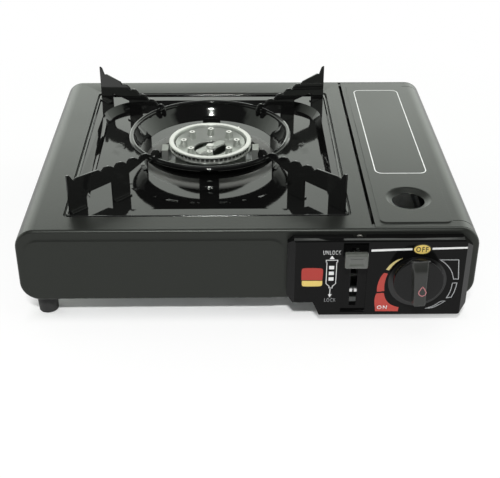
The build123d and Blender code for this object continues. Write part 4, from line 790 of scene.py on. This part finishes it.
whiteness = (glare * 0.25 + 0.75) * open_table
seen = matt.add("ShaderNodeMixShader", None, {0: whiteness, 1: paper, 2: white})
plain = Tone(matt, matt.shader.outputs[0])
straight, mirrored, through = (
    matt.add("ShaderNodeLightPath", out=f"Is {kind} Ray")
    for kind in ("Camera", "Glossy", "Transmission")
)
table_top = matt.add("ShaderNodeMixShader", None, {0: straight + mirrored + through, 1: plain, 2: seen})
matt.tree.links.new(table_top.socket, matt.tree.nodes["Material Output"].inputs["Surface"])
matt.on(table)

# ---------------------------------------------------------------- lamps
# A broad soft lamp overhead, a wide low panel behind that the level enamel and paint mirror,
# and a small oval lamp high in front, for the highlight in the wind guard.

BACKDROP_TINT = (0.955, 1.0, 0.94)


def soft_box(name, place, aim, size, power, form="RECTANGLE", tint=(1, 1, 1)):
    """An area lamp at a place, turned to an aim point."""
    lamp = bpy.data.lights.new(name, "AREA")
    lamp.shape, lamp.energy, lamp.color = form, power, tint
    lamp.size, lamp.size_y = size
    holder = bpy.data.objects.new(name, lamp)
    holder.location = place
    holder.rotation_euler = (Vector(aim) - Vector(place)).to_track_quat("-Z", "Y").to_euler()
    bpy.context.collection.objects.link(holder)


soft_box("overhead", (0.0, 0.1, 2.2), (0, 0, 0.05), (1.8, 1.4), 8)
soft_box("back_panel", (0.0, 1.7, 0.555), (0, 0, 0.1), (3.8, 1.06), 22.3, tint=BACKDROP_TINT)
soft_box("front_lamp", (-0.05, -1.04, 1.06), (0, 0, 0.05), (0.15, 0.08), 15.5, form="ELLIPSE")

# ---------------------------------------------------------------- white tent
# The surroundings: a bright wall behind that fades out from 31 to 41 degrees of height, low
# bright walls at both sides, the right one brighter, and a dim room. The viewer sees white.

world = bpy.data.worlds.new("tent")
bpy.context.scene.world = world
world.use_nodes = True
tent = Nodes(world.node_tree, "Background", "Generated")
tent_x, tent_y, tent_z = (tent.axis(letter) for letter in "XYZ")
# each pair is where a wall begins and where it is full, or fades and ends, along a unit ray
REAR_WALL, REAR_TOP = (-0.15, 0.3), (0.52, 0.66)
SIDE_WALLS, SIDE_TOP = (0.72, 0.80), (0.60, 0.75)
ROOM_LEVEL, LEFT_LEVEL, RIGHT_LEVEL = 0.05, 1.1, 1.8
rear_wall = tent_y.between(*REAR_WALL) * (1.0 - tent_z.between(*REAR_TOP))
side_walls = abs(tent_x).between(*SIDE_WALLS) * (1.0 - tent_z.between(*SIDE_TOP))
side_level = tent_x.between(-0.5, 0.5) * (RIGHT_LEVEL - LEFT_LEVEL) + LEFT_LEVEL
room = rear_wall * (1 - ROOM_LEVEL) + ROOM_LEVEL + side_walls * side_level
seen_directly = tent.add("ShaderNodeLightPath", out="Is Camera Ray")
tent.feed(
    Color=tent.mix(seen_directly, BACKDROP_TINT, (1, 1, 1)),
    Strength=seen_directly + (1.0 - seen_directly) * room,
)

# ---------------------------------------------------------------- viewer
# The viewer stands in front, a little left, and looks down 31 degrees. The focal length and
# the picture's width are in pixels.

VIEW_TURN, VIEW_DOWN, VIEW_ROLL = radians(1.0), radians(31.2), radians(0.2)
VIEW_PLACE = Vector((-0.0092, -0.7426, 0.4431))
FOCAL_PIXELS, PICTURE_PIXELS, SENSOR_MM = 978.7, 500, 36
ahead = Vector((sin(VIEW_TURN) * cos(VIEW_DOWN), cos(VIEW_TURN) * cos(VIEW_DOWN), -sin(VIEW_DOWN)))
across = Vector((cos(VIEW_TURN), -sin(VIEW_TURN), 0))
upward = across.cross(ahead)
side = across * cos(VIEW_ROLL) + upward * sin(VIEW_ROLL)
head = upward * cos(VIEW_ROLL) - across * sin(VIEW_ROLL)
lens = bpy.data.cameras.new("viewer")
lens.sensor_width, lens.lens = SENSOR_MM, SENSOR_MM * FOCAL_PIXELS / PICTURE_PIXELS
lens.clip_start = 0.05
viewer = bpy.data.objects.new("viewer", lens)
bpy.context.collection.objects.link(viewer)
turn = Matrix((side, head, -ahead)).transposed().to_4x4()
viewer.matrix_world = Matrix.Translation(VIEW_PLACE) @ turn
bpy.context.scene.camera = viewer
bpy.context.scene.view_settings.view_transform = "Standard"
